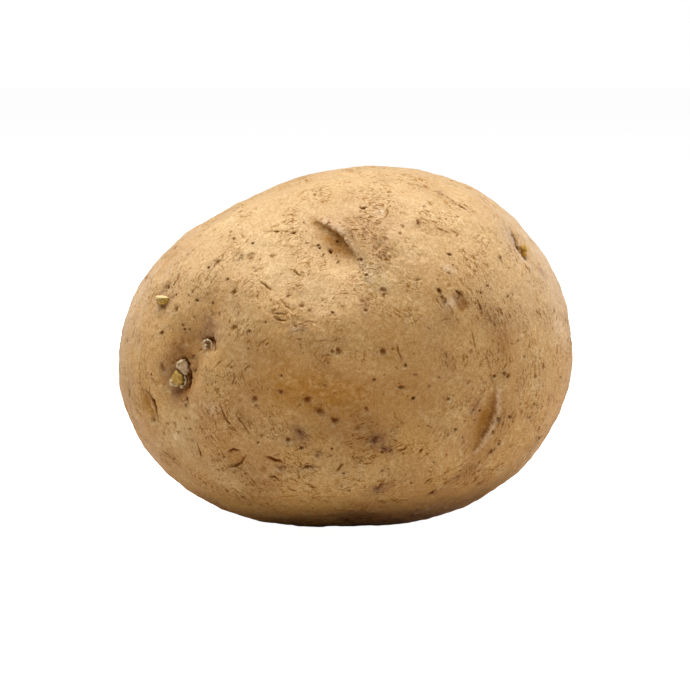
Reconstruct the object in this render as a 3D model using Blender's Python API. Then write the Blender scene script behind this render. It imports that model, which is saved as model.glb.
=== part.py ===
"""A potato tuber that lies on its side, in metres, +Z up.

The origin is on the table, under the middle of the tuber's box. The long way runs along X.
The tuber is one solid: a closed body whose front outline is a ring of radii and whose depth
follows an ellipse, with broad hollows, brow folds and wounds raised from it by formula, and
with the sprout buds joined to it. It stands on a small flat spot at z = 0.

A place on the skin is given as a viewer sees it. The viewer stands EYE_DISTANCE from the
tuber's middle, at an azimuth round it (0 is in front, on -Y, and 90 is on +X), and looks
down by SIGHT_TILT. The place is so far across and so far up from the middle of what they see.
"""

import math
from dataclasses import dataclass

import bmesh
import bpy
import numpy as np
from mathutils import Matrix, Vector
from mathutils.bvhtree import BVHTree

MM = 0.001  # every length below is in millimetres

# The plain body.
DEPTH = 68.0
DEPTH_TAPER = 0.05  # the share by which the +X end is deeper, and the other end less deep
MIDDLE_HEIGHT = 37.5  # the outline's centre above the table
# The front outline's radii from its centre, every 15 degrees from +X round by +Z.
OUTLINE_RADII = (
    47.5, 46.2, 44.4, 42.7, 40.4, 38.3, 36.8, 36.3, 36.4, 38.3, 41.9, 45.3,
    47.8, 48.6, 47.4, 44.9, 41.9, 39.4, 38.0, 38.9, 41.0, 43.3, 45.6, 47.1,
)
END_BEND = 3.0  # how far both ends bend back, out of the line of the middle
SQUARE = 2.2  # the depth's power: 2 is an ellipse, and more is squarer

# The viewer.
EYE_DISTANCE = 600.0
SIGHT_TILT = math.radians(6.0)
SIGHT_HEIGHT = 37.25  # the height of the tuber's middle, as the viewer sees it

# The mesh.
CELLS_PER_SIDE = 20  # along each edge of the cube that is blown up into the tuber
REFINE_REACHES = (4.6, 2.6, 1.1)  # how near a fold or a bud the mesh is halved, time by time
STEP_SOFTNESS = 0.35  # half the width of the slope from a fold's low side to its high side


@dataclass(frozen=True)
class Place:
    """A point of the skin, as it is seen from round the tuber."""

    across: float
    up: float
    azimuth: float = 0.0


@dataclass(frozen=True)
class Swell:
    """A broad rise of the skin, or a hollow where its rise is negative."""

    place: Place
    long: float  # the spread along its long way
    short: float  # the spread across that
    turn: float  # degrees from the horizontal to the long way, anticlockwise
    rise: float


@dataclass(frozen=True)
class Fold:
    """A brow over an eye, or the edge of a wound: the skin steps up to the left of a path."""

    path: tuple
    lip: float  # the height of the raised side
    lip_width: float
    sink: float  # the depth of the sunk side
    sink_width: float


@dataclass(frozen=True)
class Bud:
    """A sprout that peeps out of an eye, or a stub: an egg on a sunk root."""

    place: Place
    width: float
    length: float  # from the skin to the tip
    lean: tuple = (0.0, 0.0)  # how far the tip leans across and up, as shares of its length


SWELLS = (
    # In front, from left to right.
    Swell(Place(-42.0, -11.8), 3.4, 1.5, -60.0, -0.4),  # the wound on the left
    Swell(Place(-38.6, 9.6), 3.2, 2.0, 20.0, -0.6),  # the eye with the cupped bud
    Swell(Place(-31.8, 0.5), 9.0, 3.4, 66.0, -1.9),  # the valley that holds two eyes
    Swell(Place(-34.0, -5.8), 3.2, 2.2, 60.0, -1.2),  # the eye with two buds
    Swell(Place(-28.6, -0.2), 2.0, 1.8, 50.0, -0.9),  # the small eye above it
    Swell(Place(-29.0, -11.0), 9.0, 3.0, 84.0, 1.5),  # the ridge beside the valley
    Swell(Place(-22.0, -6.0), 7.0, 6.0, 0.0, 1.0),  # the cheek to the right of the ridge
    Swell(Place(-23.0, -24.0), 2.4, 2.0, 0.0, -0.5),  # the ringed eye low on the left
    Swell(Place(-22.0, 12.5), 8.0, 4.5, -30.0, 1.0),  # the shoulder that runs to the forehead
    Swell(Place(-6.5, 0.8), 13.0, 6.6, -10.0, 3.3),  # the forehead above the broad hollow
    Swell(Place(-3.0, -14.5), 12.0, 7.0, -6.0, -3.2),  # the broad hollow
    Swell(Place(3.0, -28.5), 20.0, 4.6, 0.0, 1.7),  # the ledge under it
    Swell(Place(-3.6, 19.8), 5.0, 3.0, -48.0, -1.1),  # under the top brow
    Swell(Place(0.0, -36.0), 4.5, 1.4, 0.0, -0.9),  # a dent where the front leaves the table
    Swell(Place(22.0, 11.0), 8.0, 5.0, -15.0, 1.2),  # the right shoulder
    Swell(Place(19.0, -21.0), 8.0, 5.0, 60.0, 1.0),  # the rise before the right brow
    Swell(Place(28.4, -15.0), 5.0, 2.4, 74.0, -0.9),  # beside the right brow
    Swell(Place(36.8, 20.2), 2.6, 1.7, -60.0, -0.9),  # the eye on the right shoulder
    # At the back and the ends.
    Swell(Place(19.0, 12.0, 180.0), 12.0, 6.0, 30.0, -1.8),
    Swell(Place(22.8, 3.4, 180.0), 3.0, 2.4, 20.0, -1.0),
    Swell(Place(-16.0, -14.0, 180.0), 11.0, 7.0, -20.0, -1.9),
    Swell(Place(-12.0, 15.6, 180.0), 3.2, 2.2, 10.0, -1.0),
    Swell(Place(3.0, -16.0, 180.0), 2.8, 2.0, -10.0, -0.8),
    Swell(Place(-4.0, 0.0, 180.0), 14.0, 5.0, 20.0, 1.2),
    Swell(Place(4.0, -3.0, 90.0), 3.4, 3.0, 0.0, -2.0),  # the hollow of the stalk it grew on
    Swell(Place(-9.0, 1.0, 270.0), 3.0, 2.2, 30.0, -1.2),
)

FOLDS = (
    Fold(  # the brow over the top eye
        (
            Place(-8.2, 26.8), Place(-4.4, 25.1), Place(-1.0, 23.1), Place(1.2, 20.0),
            Place(3.4, 17.2), Place(5.0, 12.0),
        ),
        lip=0.9, lip_width=3.6, sink=1.2, sink_width=4.0,
    ),
    Fold(  # the brow on the right
        (
            Place(31.4, -6.6), Place(31.6, -12.1), Place(30.3, -16.9), Place(28.0, -21.1),
            Place(23.8, -26.4),
        ),
        lip=0.7, lip_width=3.0, sink=1.1, sink_width=3.4,
    ),
    Fold(  # the wall beside the two buds
        (Place(-34.6, -1.8), Place(-32.2, -3.4), Place(-31.9, -7.0), Place(-33.4, -10.6)),
        lip=0.4, lip_width=1.6, sink=0.8, sink_width=1.6,
    ),
    Fold(  # the brow over the cupped bud
        (Place(-41.0, 9.6), Place(-39.6, 11.3), Place(-37.8, 12.2), Place(-35.8, 12.2)),
        lip=0.25, lip_width=1.4, sink=0.4, sink_width=1.4,
    ),
    Fold(  # the lifted edge of the wound on the left
        (Place(-42.2, -8.4), Place(-40.7, -11.2), Place(-39.8, -13.4), Place(-39.6, -16.2)),
        lip=0.45, lip_width=1.0, sink=0.6, sink_width=1.6,
    ),
    Fold(  # the ring of the eye low on the left
        (Place(-20.6, -22.6), Place(-21.4, -25.3), Place(-23.4, -26.0), Place(-25.6, -25.0)),
        lip=0.4, lip_width=1.2, sink=0.6, sink_width=1.4,
    ),
    Fold(  # the brows over the three eyes behind
        (
            Place(17.0, 4.6, 180.0), Place(20.4, 6.4, 180.0), Place(25.0, 6.0, 180.0),
            Place(28.4, 3.2, 180.0),
        ),
        lip=0.7, lip_width=2.6, sink=0.9, sink_width=2.2,
    ),
    Fold(
        (
            Place(-17.4, 16.4, 180.0), Place(-13.6, 18.6, 180.0), Place(-9.4, 18.4, 180.0),
            Place(-6.2, 16.0, 180.0),
        ),
        lip=0.6, lip_width=2.4, sink=0.8, sink_width=2.0,
    ),
    Fold(
        (Place(-1.6, -15.4, 180.0), Place(2.4, -13.4, 180.0), Place(6.8, -14.6, 180.0)),
        lip=0.5, lip_width=1.8, sink=0.6, sink_width=1.6,
    ),
)

BUDS = (
    Bud(Place(-38.3, 9.4), 3.0, 1.6, (-0.2, -0.1)),
    Bud(Place(-33.7, -4.7), 2.6, 1.6, (0.2, 0.3)),
    Bud(Place(-34.8, -7.3), 2.5, 1.6, (-0.2, -0.3)),
    Bud(Place(-28.8, -0.1), 1.8, 0.9),
    Bud(Place(37.2, 20.4), 1.4, 0.7),
    Bud(Place(22.6, 2.6, 180.0), 1.9, 1.0),
    Bud(Place(-11.8, 15.0, 180.0), 2.1, 1.2, (0.2, 0.1)),
    Bud(Place(-9.2, 0.8, 270.0), 2.0, 1.1),
    Bud(Place(4.0, -3.0, 90.0), 2.6, 0.7),  # the dry stub of the stalk
)
BUD_ROOT = 0.9  # how deep a bud's root goes, as a share of its width
BUD_TAPER = 0.35  # how much of its width a bud has lost at its tip
BUD_SEGMENTS = 10
BUD_RINGS = 8

SKIN_COLOUR = (0.545, 0.345, 0.150, 1.0)
SKIN_ROUGHNESS = 0.55


def unit(vectors):
    """The vectors at length 1."""
    return vectors / np.linalg.norm(vectors, axis=-1, keepdims=True)


def outline_radius(angle):
    """The front outline's radius at each angle from +X, on a smooth closed curve."""
    radii = np.array(OUTLINE_RADII)
    at = np.mod(angle, 2 * math.pi) / (2 * math.pi) * len(radii)
    first = np.floor(at).astype(int)
    t = at - first
    before, start, end, after = (radii[(first + k) % len(radii)] for k in (-1, 0, 1, 2))
    slope = end - before
    bend = 2 * before - 5 * start + 4 * end - after
    twist = 3 * (start - end) + after - before
    return start + 0.5 * t * (slope + t * (bend + t * twist))


def body_points(directions):
    """Where the plain body's skin lies in each unit direction from its middle."""
    x, y, z = directions.T
    level = np.hypot(x, z)
    size = (level**SQUARE + np.abs(y) ** SQUARE) ** (-1 / SQUARE)
    radius = outline_radius(np.arctan2(z, x))
    # Towards the front and back poles the outline's bumps fade into their mean.
    opposite = outline_radius(np.arctan2(-z, -x))
    radius = size * (radius * (1 + level) + opposite * (1 - level)) / 2
    across = radius * x
    along = across / OUTLINE_RADII[0]
    back = 0.5 * DEPTH * (1 + DEPTH_TAPER * along) * size * y + END_BEND * along**2
    return np.stack([across, back, MIDDLE_HEIGHT + radius * z], axis=1)


def view_axes(azimuth):
    """The directions across, up and towards the viewer, for a viewer at an azimuth in degrees."""
    turn = math.radians(azimuth)
    across = Vector((math.cos(turn), math.sin(turn), 0.0))
    outward = Vector((math.sin(turn), -math.cos(turn), 0.0))
    towards = outward * math.cos(SIGHT_TILT) + Vector((0.0, 0.0, math.sin(SIGHT_TILT)))
    return across, towards.cross(across), towards


def seen(tree, place):
    """The point of the skin, and its outward normal, that the viewer sees at a place."""
    across, up, towards = view_axes(place.azimuth)
    middle = Vector((0.0, 0.0, SIGHT_HEIGHT))
    eye = middle + towards * EYE_DISTANCE
    target = middle + across * place.across + up * place.up
    point, normal, _, _ = tree.ray_cast(eye, target - eye)
    return np.array(point), np.array(normal)


def positions(mesh):
    """The mesh's vertices as an array."""
    return np.array([vertex.co for vertex in mesh.verts])


def move_to(mesh, places):
    """Puts the mesh's vertices at these places."""
    for vertex, place in zip(mesh.verts, places):
        vertex.co = place


def unit_ball():
    """A ball of radius 1 made from a cube, with cells of nearly one size."""
    ball = bmesh.new()
    bmesh.ops.create_cube(ball, size=2.0)
    bmesh.ops.subdivide_edges(
        ball, edges=ball.edges[:], cuts=CELLS_PER_SIDE - 1, use_grid_fill=True
    )
    places = positions(ball)
    move_to(ball, unit(np.tan(0.25 * math.pi * places)))
    return ball


def refine(ball, centres, reach):
    """Halves the ball's edges where the tuber's skin is within reach of any of the centres."""
    skin = body_points(positions(ball))
    near = [np.linalg.norm(centres - point, axis=1).min() < reach for point in skin]
    ball.verts.index_update()
    edges = [edge for edge in ball.edges if all(near[vertex.index] for vertex in edge.verts)]
    bmesh.ops.subdivide_edges(
        ball, edges=edges, cuts=1, use_grid_fill=True, use_single_edge=True
    )
    move_to(ball, unit(positions(ball)))


def cut_corners(points):
    """A path with each inner corner replaced by two points beside it."""
    cut = [
        (1 - share) * start + share * end
        for start, end in zip(points, points[1:])
        for share in (0.25, 0.75)
    ]
    return [points[0], *cut[1:-1], points[-1]]


def path_on_skin(tree, path):
    """A path of places as points of the skin and their normals, with its corners rounded."""
    seen_places = [seen(tree, place) for place in path]
    points = [point for point, _ in seen_places]
    normals = [normal for _, normal in seen_places]
    for _ in range(2):
        points = cut_corners(points)
        normals = cut_corners(normals)
    return np.array(points), unit(np.array(normals))


def along_path(skin, points, normals):
    """Each skin point's distance from a path, positive to its left, and its share along it."""
    nearest = np.full(len(skin), np.inf)
    distance = np.zeros(len(skin))
    share = np.zeros(len(skin))
    for i, (start, end) in enumerate(zip(points, points[1:])):
        way = end - start
        t = np.clip((skin - start) @ way / (way @ way), 0, 1)
        offset = skin - (start + t[:, None] * way)
        gap = np.linalg.norm(offset, axis=1)
        closer = gap < nearest
        side = np.sign(offset @ np.cross(normals[i], way))
        nearest[closer] = gap[closer]
        distance[closer] = (side * gap)[closer]
        share[closer] = ((i + t) / (len(points) - 1))[closer]
    return distance, share


def swell_rise(tree, skin, swell):
    """How far a swell lifts each point of the skin."""
    centre, normal = seen(tree, swell.place)
    across, up, _ = view_axes(swell.place.azimuth)
    turn = math.radians(swell.turn)
    long_way = np.array(across * math.cos(turn) + up * math.sin(turn))
    long_way = unit(long_way - normal * (long_way @ normal))
    short_way = np.cross(normal, long_way)
    offset = skin - centre
    level = (offset @ long_way / swell.long) ** 2 + (offset @ short_way / swell.short) ** 2
    below = (offset @ normal / (swell.long + swell.short)) ** 2
    return swell.rise * np.exp(-0.5 * level - 2 * below)


def fold_rise(tree, skin, fold):
    """How far a fold lifts each point of the skin, fading at the fold's ends."""
    distance, share = along_path(skin, *path_on_skin(tree, fold.path))
    strength = np.sin(math.pi * share) ** 0.7
    high = 0.5 + 0.5 * np.tanh(distance / STEP_SOFTNESS)
    lip = fold.lip * np.exp(-((distance / fold.lip_width) ** 2))
    sink = fold.sink * np.exp(-((distance / fold.sink_width) ** 2))
    return strength * (high * lip - (1 - high) * sink)


def raise_skin(mesh, tree):
    """Moves the skin along its normals by all the swells and folds."""
    skin = positions(mesh)
    mesh.normal_update()
    normals = np.array([vertex.normal for vertex in mesh.verts])
    rise = sum(swell_rise(tree, skin, swell) for swell in SWELLS)
    rise = rise + sum(fold_rise(tree, skin, fold) for fold in FOLDS)
    move_to(mesh, skin + normals * rise[:, None])


def flatten_foot(mesh):
    """Presses what would go through the table flat onto it."""
    skin = positions(mesh)
    skin[:, 2] = np.maximum(skin[:, 2], 0.0)
    move_to(mesh, skin)


def bud_mesh(bud, tree):
    """A bud as a closed mesh, with its root sunk in the skin and its tip along the normal."""
    foot, normal = seen(tree, bud.place)
    across, up, _ = view_axes(bud.place.azimuth)
    axis = Vector(normal) + across * bud.lean[0] + up * bud.lean[1]
    mesh = bmesh.new()
    bmesh.ops.create_uvsphere(mesh, u_segments=BUD_SEGMENTS, v_segments=BUD_RINGS, radius=0.5)
    root = BUD_ROOT * bud.width
    for vertex in mesh.verts:
        height = vertex.co.z + 0.5
        width = bud.width * (1 - BUD_TAPER * height**2)
        vertex.co = (
            vertex.co.x * width,
            vertex.co.y * width,
            height * (root + bud.length) - root,
        )
    turn = axis.to_track_quat("Z", "Y").to_matrix().to_4x4()
    mesh.transform(Matrix.Translation(foot) @ turn)
    return mesh


def add_object(name, mesh, collection, shift):
    """A named object in metres, from a mesh in millimetres that is moved by a shift."""
    mesh.transform(Matrix.Scale(MM, 4) @ Matrix.Translation(shift))
    data = bpy.data.meshes.new(name)
    mesh.to_mesh(data)
    mesh.free()
    made = bpy.data.objects.new(name, data)
    collection.objects.link(made)
    return made


def new_collection(name):
    """A collection of the scene."""
    made = bpy.data.collections.new(name)
    bpy.context.scene.collection.children.link(made)
    return made


def join_buds(body, buds):
    """Joins the buds of a collection to the body for good, and removes them."""
    union = body.modifiers.new("buds", "BOOLEAN")
    union.operation = "UNION"
    union.operand_type = "COLLECTION"
    union.collection = buds
    graph = bpy.context.evaluated_depsgraph_get()
    body.data = bpy.data.meshes.new_from_object(body.evaluated_get(graph), depsgraph=graph)
    body.modifiers.clear()
    for bud in list(buds.objects):
        bpy.data.objects.remove(bud)
    bpy.data.collections.remove(buds)


def skin_material():
    """The dull tan skin."""
    material = bpy.data.materials.new("potato_skin")
    material.use_nodes = True
    shader = material.node_tree.nodes["Principled BSDF"]
    shader.inputs["Base Color"].default_value = SKIN_COLOUR
    shader.inputs["Roughness"].default_value = SKIN_ROUGHNESS
    shader.inputs["Metallic"].default_value = 0.0
    return material


def potato_mesh():
    """The tuber without its buds, as a closed mesh, with the mesh finer at its folds and buds."""
    mesh = unit_ball()
    plain = mesh.copy()
    move_to(plain, body_points(positions(plain)))
    tree = BVHTree.FromBMesh(plain)
    plain.free()

    centres = [point for fold in FOLDS for point in path_on_skin(tree, fold.path)[0]]
    centres += [seen(tree, bud.place)[0] for bud in BUDS]
    for reach in REFINE_REACHES:
        refine(mesh, np.array(centres), reach)

    move_to(mesh, body_points(positions(mesh)))
    raise_skin(mesh, tree)
    flatten_foot(mesh)
    return mesh


def main():
    """Builds the potato."""
    for old in list(bpy.data.objects):
        bpy.data.objects.remove(old)

    mesh = potato_mesh()
    tree = BVHTree.FromBMesh(mesh)
    skin = positions(mesh)
    middle = 0.5 * (skin.min(axis=0) + skin.max(axis=0))
    shift = Vector((-middle[0], -middle[1], 0.0))

    buds = new_collection("buds")
    for i, bud in enumerate(BUDS):
        add_object(f"bud_{i}", bud_mesh(bud, tree), buds, shift)
    potato = add_object("potato", mesh, new_collection("potato_tuber"), shift)
    join_buds(potato, buds)
    potato.data.materials.append(skin_material())
    potato.data.shade_smooth()


main()
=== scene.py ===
"""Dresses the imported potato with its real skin, its sprout buds and plain studio light.

The skin is one fine mesh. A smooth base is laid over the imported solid, and the mesh is made
finer wherever something small lies on it. Every mark then carves its relief into the skin and
paints its tint on it: brows over the eyes, wounds, cracks, pits, scuffs and scabs. The buds
are small pieces of their own, set in the eyes.

Lengths are in millimetres until a mesh is handed to Blender. A place on the skin is a Spot, as
a viewer sees it from round the tuber.
"""

import logging
import math
from dataclasses import dataclass
from enum import Enum
from typing import Any, Protocol

import bpy
import numpy as np
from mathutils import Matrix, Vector
from mathutils.bvhtree import BVHTree
from mathutils.kdtree import KDTree


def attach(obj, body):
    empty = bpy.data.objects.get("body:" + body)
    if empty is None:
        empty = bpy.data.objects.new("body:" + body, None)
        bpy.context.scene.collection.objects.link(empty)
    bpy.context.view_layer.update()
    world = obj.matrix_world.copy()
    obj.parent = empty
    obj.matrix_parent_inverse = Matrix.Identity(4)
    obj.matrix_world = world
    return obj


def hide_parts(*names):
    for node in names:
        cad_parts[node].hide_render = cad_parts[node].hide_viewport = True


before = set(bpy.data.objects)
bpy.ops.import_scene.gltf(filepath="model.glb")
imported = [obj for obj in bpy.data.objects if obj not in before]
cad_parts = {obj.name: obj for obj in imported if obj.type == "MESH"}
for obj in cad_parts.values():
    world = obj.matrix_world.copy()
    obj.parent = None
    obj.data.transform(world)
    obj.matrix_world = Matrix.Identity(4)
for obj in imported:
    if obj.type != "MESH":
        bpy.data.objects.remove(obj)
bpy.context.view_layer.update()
LOG = logging.getLogger("potato")
MM = 0.001
BODY = "root"
NODE = "potato"


# ---------------------------------------------------------------- places on the skin


@dataclass(frozen=True)
class Spot:
    """A point of the skin, so far across and up from the middle of what a viewer sees.

    The viewer stands at an azimuth: 0 is in front, 90 on +X, 180 behind and 270 on -X.
    """

    across: float
    up: float
    azimuth: float = 0.0


@dataclass(frozen=True)
class Sight:
    """How the viewer looks at the tuber from any azimuth."""

    distance: float = 600.0
    tilt: float = 6.0  # how far the viewer looks down, in degrees
    middle: tuple[float, float, float] = (0.0, 1.3, 37.25)

    def axes(self, azimuth: float) -> tuple[Vector, Vector, Vector]:
        """The directions across, up and towards the viewer.

        Args:
            azimuth: where the viewer stands, in degrees.

        Returns:
            Three unit vectors.
        """
        turn, tilt = math.radians(azimuth), math.radians(self.tilt)
        across = Vector((math.cos(turn), math.sin(turn), 0.0))
        outward = Vector((math.sin(turn), -math.cos(turn), 0.0))
        towards = outward * math.cos(tilt) + Vector((0.0, 0.0, math.sin(tilt)))
        return across, towards.cross(across), towards

    def ray(self, spot: Spot) -> tuple[Vector, Vector]:
        """The viewer's eye and the direction in which it sees a spot.

        Args:
            spot: the place that the viewer looks at.

        Returns:
            The eye, and the direction from it.
        """
        across, up, towards = self.axes(spot.azimuth)
        eye = Vector(self.middle) + towards * self.distance
        target = Vector(self.middle) + across * spot.across + up * spot.up
        return eye, (target - eye).normalized()


SIGHT = Sight()


# ---------------------------------------------------------------- small helpers


def unit(vectors: np.ndarray) -> np.ndarray:
    """The vectors at length 1."""
    return vectors / np.maximum(np.linalg.norm(vectors, axis=-1, keepdims=True), 1e-12)


def hump(at: np.ndarray, centre: float, spread: float, power: float = 2.0) -> np.ndarray:
    """1 at a centre, falling off to both sides of it; a high power makes the top flat."""
    return np.exp(-(np.abs((at - centre) / spread) ** power))


def turned(points: np.ndarray, degrees: float, first: int, second: int) -> np.ndarray:
    """Points turned round the origin.

    Args:
        points: the points.
        degrees: how far, from the first axis towards the second.
        first: the number of the first axis.
        second: the number of the second axis.

    Returns:
        The turned points.
    """
    cosine, sine = math.cos(math.radians(degrees)), math.sin(math.radians(degrees))
    made = points.copy()
    made[:, first] = cosine * points[:, first] - sine * points[:, second]
    made[:, second] = sine * points[:, first] + cosine * points[:, second]
    return made


class Ripple:
    """A smooth random field through space, with waves of about one length and unit spread."""

    def __init__(self, length: float, seed: int, count: int = 22) -> None:
        """Draws the waves.

        Args:
            length: the usual wavelength in millimetres.
            seed: the seed of the waves.
            count: how many waves are summed.
        """
        dice = np.random.default_rng(seed)
        ways = unit(dice.normal(size=(count, 3)))
        self.waves = ways * (2 * math.pi / length) * dice.uniform(0.6, 1.5, (count, 1))
        self.starts = dice.uniform(0, 2 * math.pi, count)

    def at(self, points: np.ndarray) -> np.ndarray:
        """The field's value at each point."""
        total = np.sin(points @ self.waves.T + self.starts).sum(axis=1)
        return total / math.sqrt(len(self.starts) / 2)


# ---------------------------------------------------------------- meshes as arrays


def corner_normals(points: np.ndarray, faces: np.ndarray) -> np.ndarray:
    """Each vertex's outward normal, the mean of its faces' by area.

    Args:
        points: the vertices.
        faces: the triangles.

    Returns:
        One unit vector for each vertex.
    """
    a, b, c = (points[faces[:, k]] for k in range(3))
    normals = np.cross(b - a, c - a)
    total = np.zeros_like(points)
    for k in range(3):
        for axis in range(3):
            total[:, axis] += np.bincount(faces[:, k], normals[:, axis], len(points))
    return unit(total)


def mesh_edges(faces: np.ndarray) -> tuple[np.ndarray, np.ndarray]:
    """The edges of a triangle mesh.

    Args:
        faces: the triangles, as rows of three vertices.

    Returns:
        The edges as sorted pairs, and for each face its edges 01, 12 and 20.
    """
    ends = np.concatenate([faces[:, [0, 1]], faces[:, [1, 2]], faces[:, [2, 0]]])
    edges, index = np.unique(np.sort(ends, axis=1), axis=0, return_inverse=True)
    return edges, index.reshape(3, -1).T


def relax(points: np.ndarray, edges: np.ndarray, share: np.ndarray, rounds: int) -> np.ndarray:
    """Points moved towards the mean of their neighbours, round by round.

    Args:
        points: where the vertices are.
        edges: the mesh's edges.
        share: how much of the way each vertex moves in a round.
        rounds: how many rounds are made.

    Returns:
        The new places.
    """
    count = len(points)
    degree = np.bincount(edges.ravel(), minlength=count).astype(float)
    start, end = edges.T
    for _ in range(rounds):
        mean = np.stack(
            [np.bincount(start, line[end], count) + np.bincount(end, line[start], count)
             for line in points.T],
            axis=1,
        )
        points = points + share[:, None] * (mean / degree[:, None] - points)
    return points


class Side(Enum):
    """The six sides of the cube that is blown up into the skin: its axes right, up and out."""

    FRONT = ((1, 0, 0), (0, 0, 1), (0, -1, 0))
    BACK = ((-1, 0, 0), (0, 0, 1), (0, 1, 0))
    RIGHT = ((0, 1, 0), (0, 0, 1), (1, 0, 0))
    LEFT = ((0, -1, 0), (0, 0, 1), (-1, 0, 0))
    TOP = ((1, 0, 0), (0, 1, 0), (0, 0, 1))
    BOTTOM = ((1, 0, 0), (0, -1, 0), (0, 0, -1))


class Ball:
    """A ball of triangles, blown up from a cube, that is halved where it has to be finer."""

    def __init__(self, cells: int) -> None:
        """Builds the ball.

        Args:
            cells: how many cells lie along each edge of the cube.
        """
        line = np.tan(np.linspace(-1, 1, cells + 1) * math.pi / 4)
        u, v = (grid.ravel() for grid in np.meshgrid(line, line, indexing="ij"))
        start = (np.arange(cells)[:, None] * (cells + 1) + np.arange(cells)).ravel()
        quad = np.stack([start, start + cells + 1, start + cells + 2, start + 1], axis=1)
        points, faces, sides = [], [], []
        for number, side in enumerate(Side):
            right, up, out = (np.array(axis, float) for axis in side.value)
            points.append(u[:, None] * right + v[:, None] * up + out)
            moved = quad + number * len(u)
            faces += [moved[:, [0, 1, 2]], moved[:, [0, 2, 3]]]
            sides += [np.full(2 * len(quad), number)]
        rounded, index = np.unique(
            np.round(np.concatenate(points), 7), axis=0, return_inverse=True
        )
        self.ways = unit(rounded)
        self.faces = index.reshape(-1)[np.concatenate(faces)]
        self.sides = np.concatenate(sides)

    def halve(self, edges: np.ndarray, of_face: np.ndarray, cut: np.ndarray) -> None:
        """Splits the edges that are cut, and the faces beside them.

        Args:
            edges: the ball's edges.
            of_face: each face's edges 01, 12 and 20.
            cut: whether each edge is cut.
        """
        number = np.full(len(edges), -1)
        number[cut] = len(self.ways) + np.arange(cut.sum())
        middles = unit(self.ways[edges[cut, 0]] + self.ways[edges[cut, 1]])
        self.ways = np.concatenate([self.ways, middles])
        middle = number[of_face]
        count = (middle >= 0).sum(axis=1)
        # Each face is turned so that a lone cut is its edge 01, and a lone whole edge is 20.
        turn = np.where(count == 1, (middle >= 0).argmax(axis=1), 0)
        turn = np.where(count == 2, ((middle < 0).argmax(axis=1) + 1) % 3, turn)
        order = (turn[:, None] + np.arange(3)) % 3
        a, b, c = np.take_along_axis(self.faces, order, axis=1).T
        ab, bc, ca = np.take_along_axis(middle, order, axis=1).T
        parts_by_cuts = (
            ((a, b, c),),
            ((a, ab, c), (ab, b, c)),
            ((ab, b, bc), (a, ab, c), (ab, bc, c)),
            ((a, ab, ca), (ab, b, bc), (ca, bc, c), (ab, bc, ca)),
        )
        chosen = [
            (count == cuts, three) for cuts, parts in enumerate(parts_by_cuts) for three in parts
        ]
        self.faces = np.concatenate([np.stack(three, axis=1)[use] for use, three in chosen])
        self.sides = np.concatenate([self.sides[use] for use, _ in chosen])

    def atlas(self) -> np.ndarray:
        """The place of every face's corners on a map with the six sides in three columns.

        Returns:
            One row of two numbers for each corner of each face.
        """
        ways = self.ways[self.faces.ravel()]
        sides = np.repeat(self.sides, 3)
        axes = np.array([side.value for side in Side], float)[sides]
        right, up, out = (np.einsum("ij,ij->i", ways, axes[:, k]) for k in range(3))
        at = np.arctan(np.stack([right / out, up / out], axis=1)) * 4 / math.pi
        cell = np.stack([sides % 3, sides // 3], axis=1)
        return (cell + 0.5 + 0.49 * at) / np.array([3, 2])  # 0.49 leaves a margin at the edge


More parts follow.
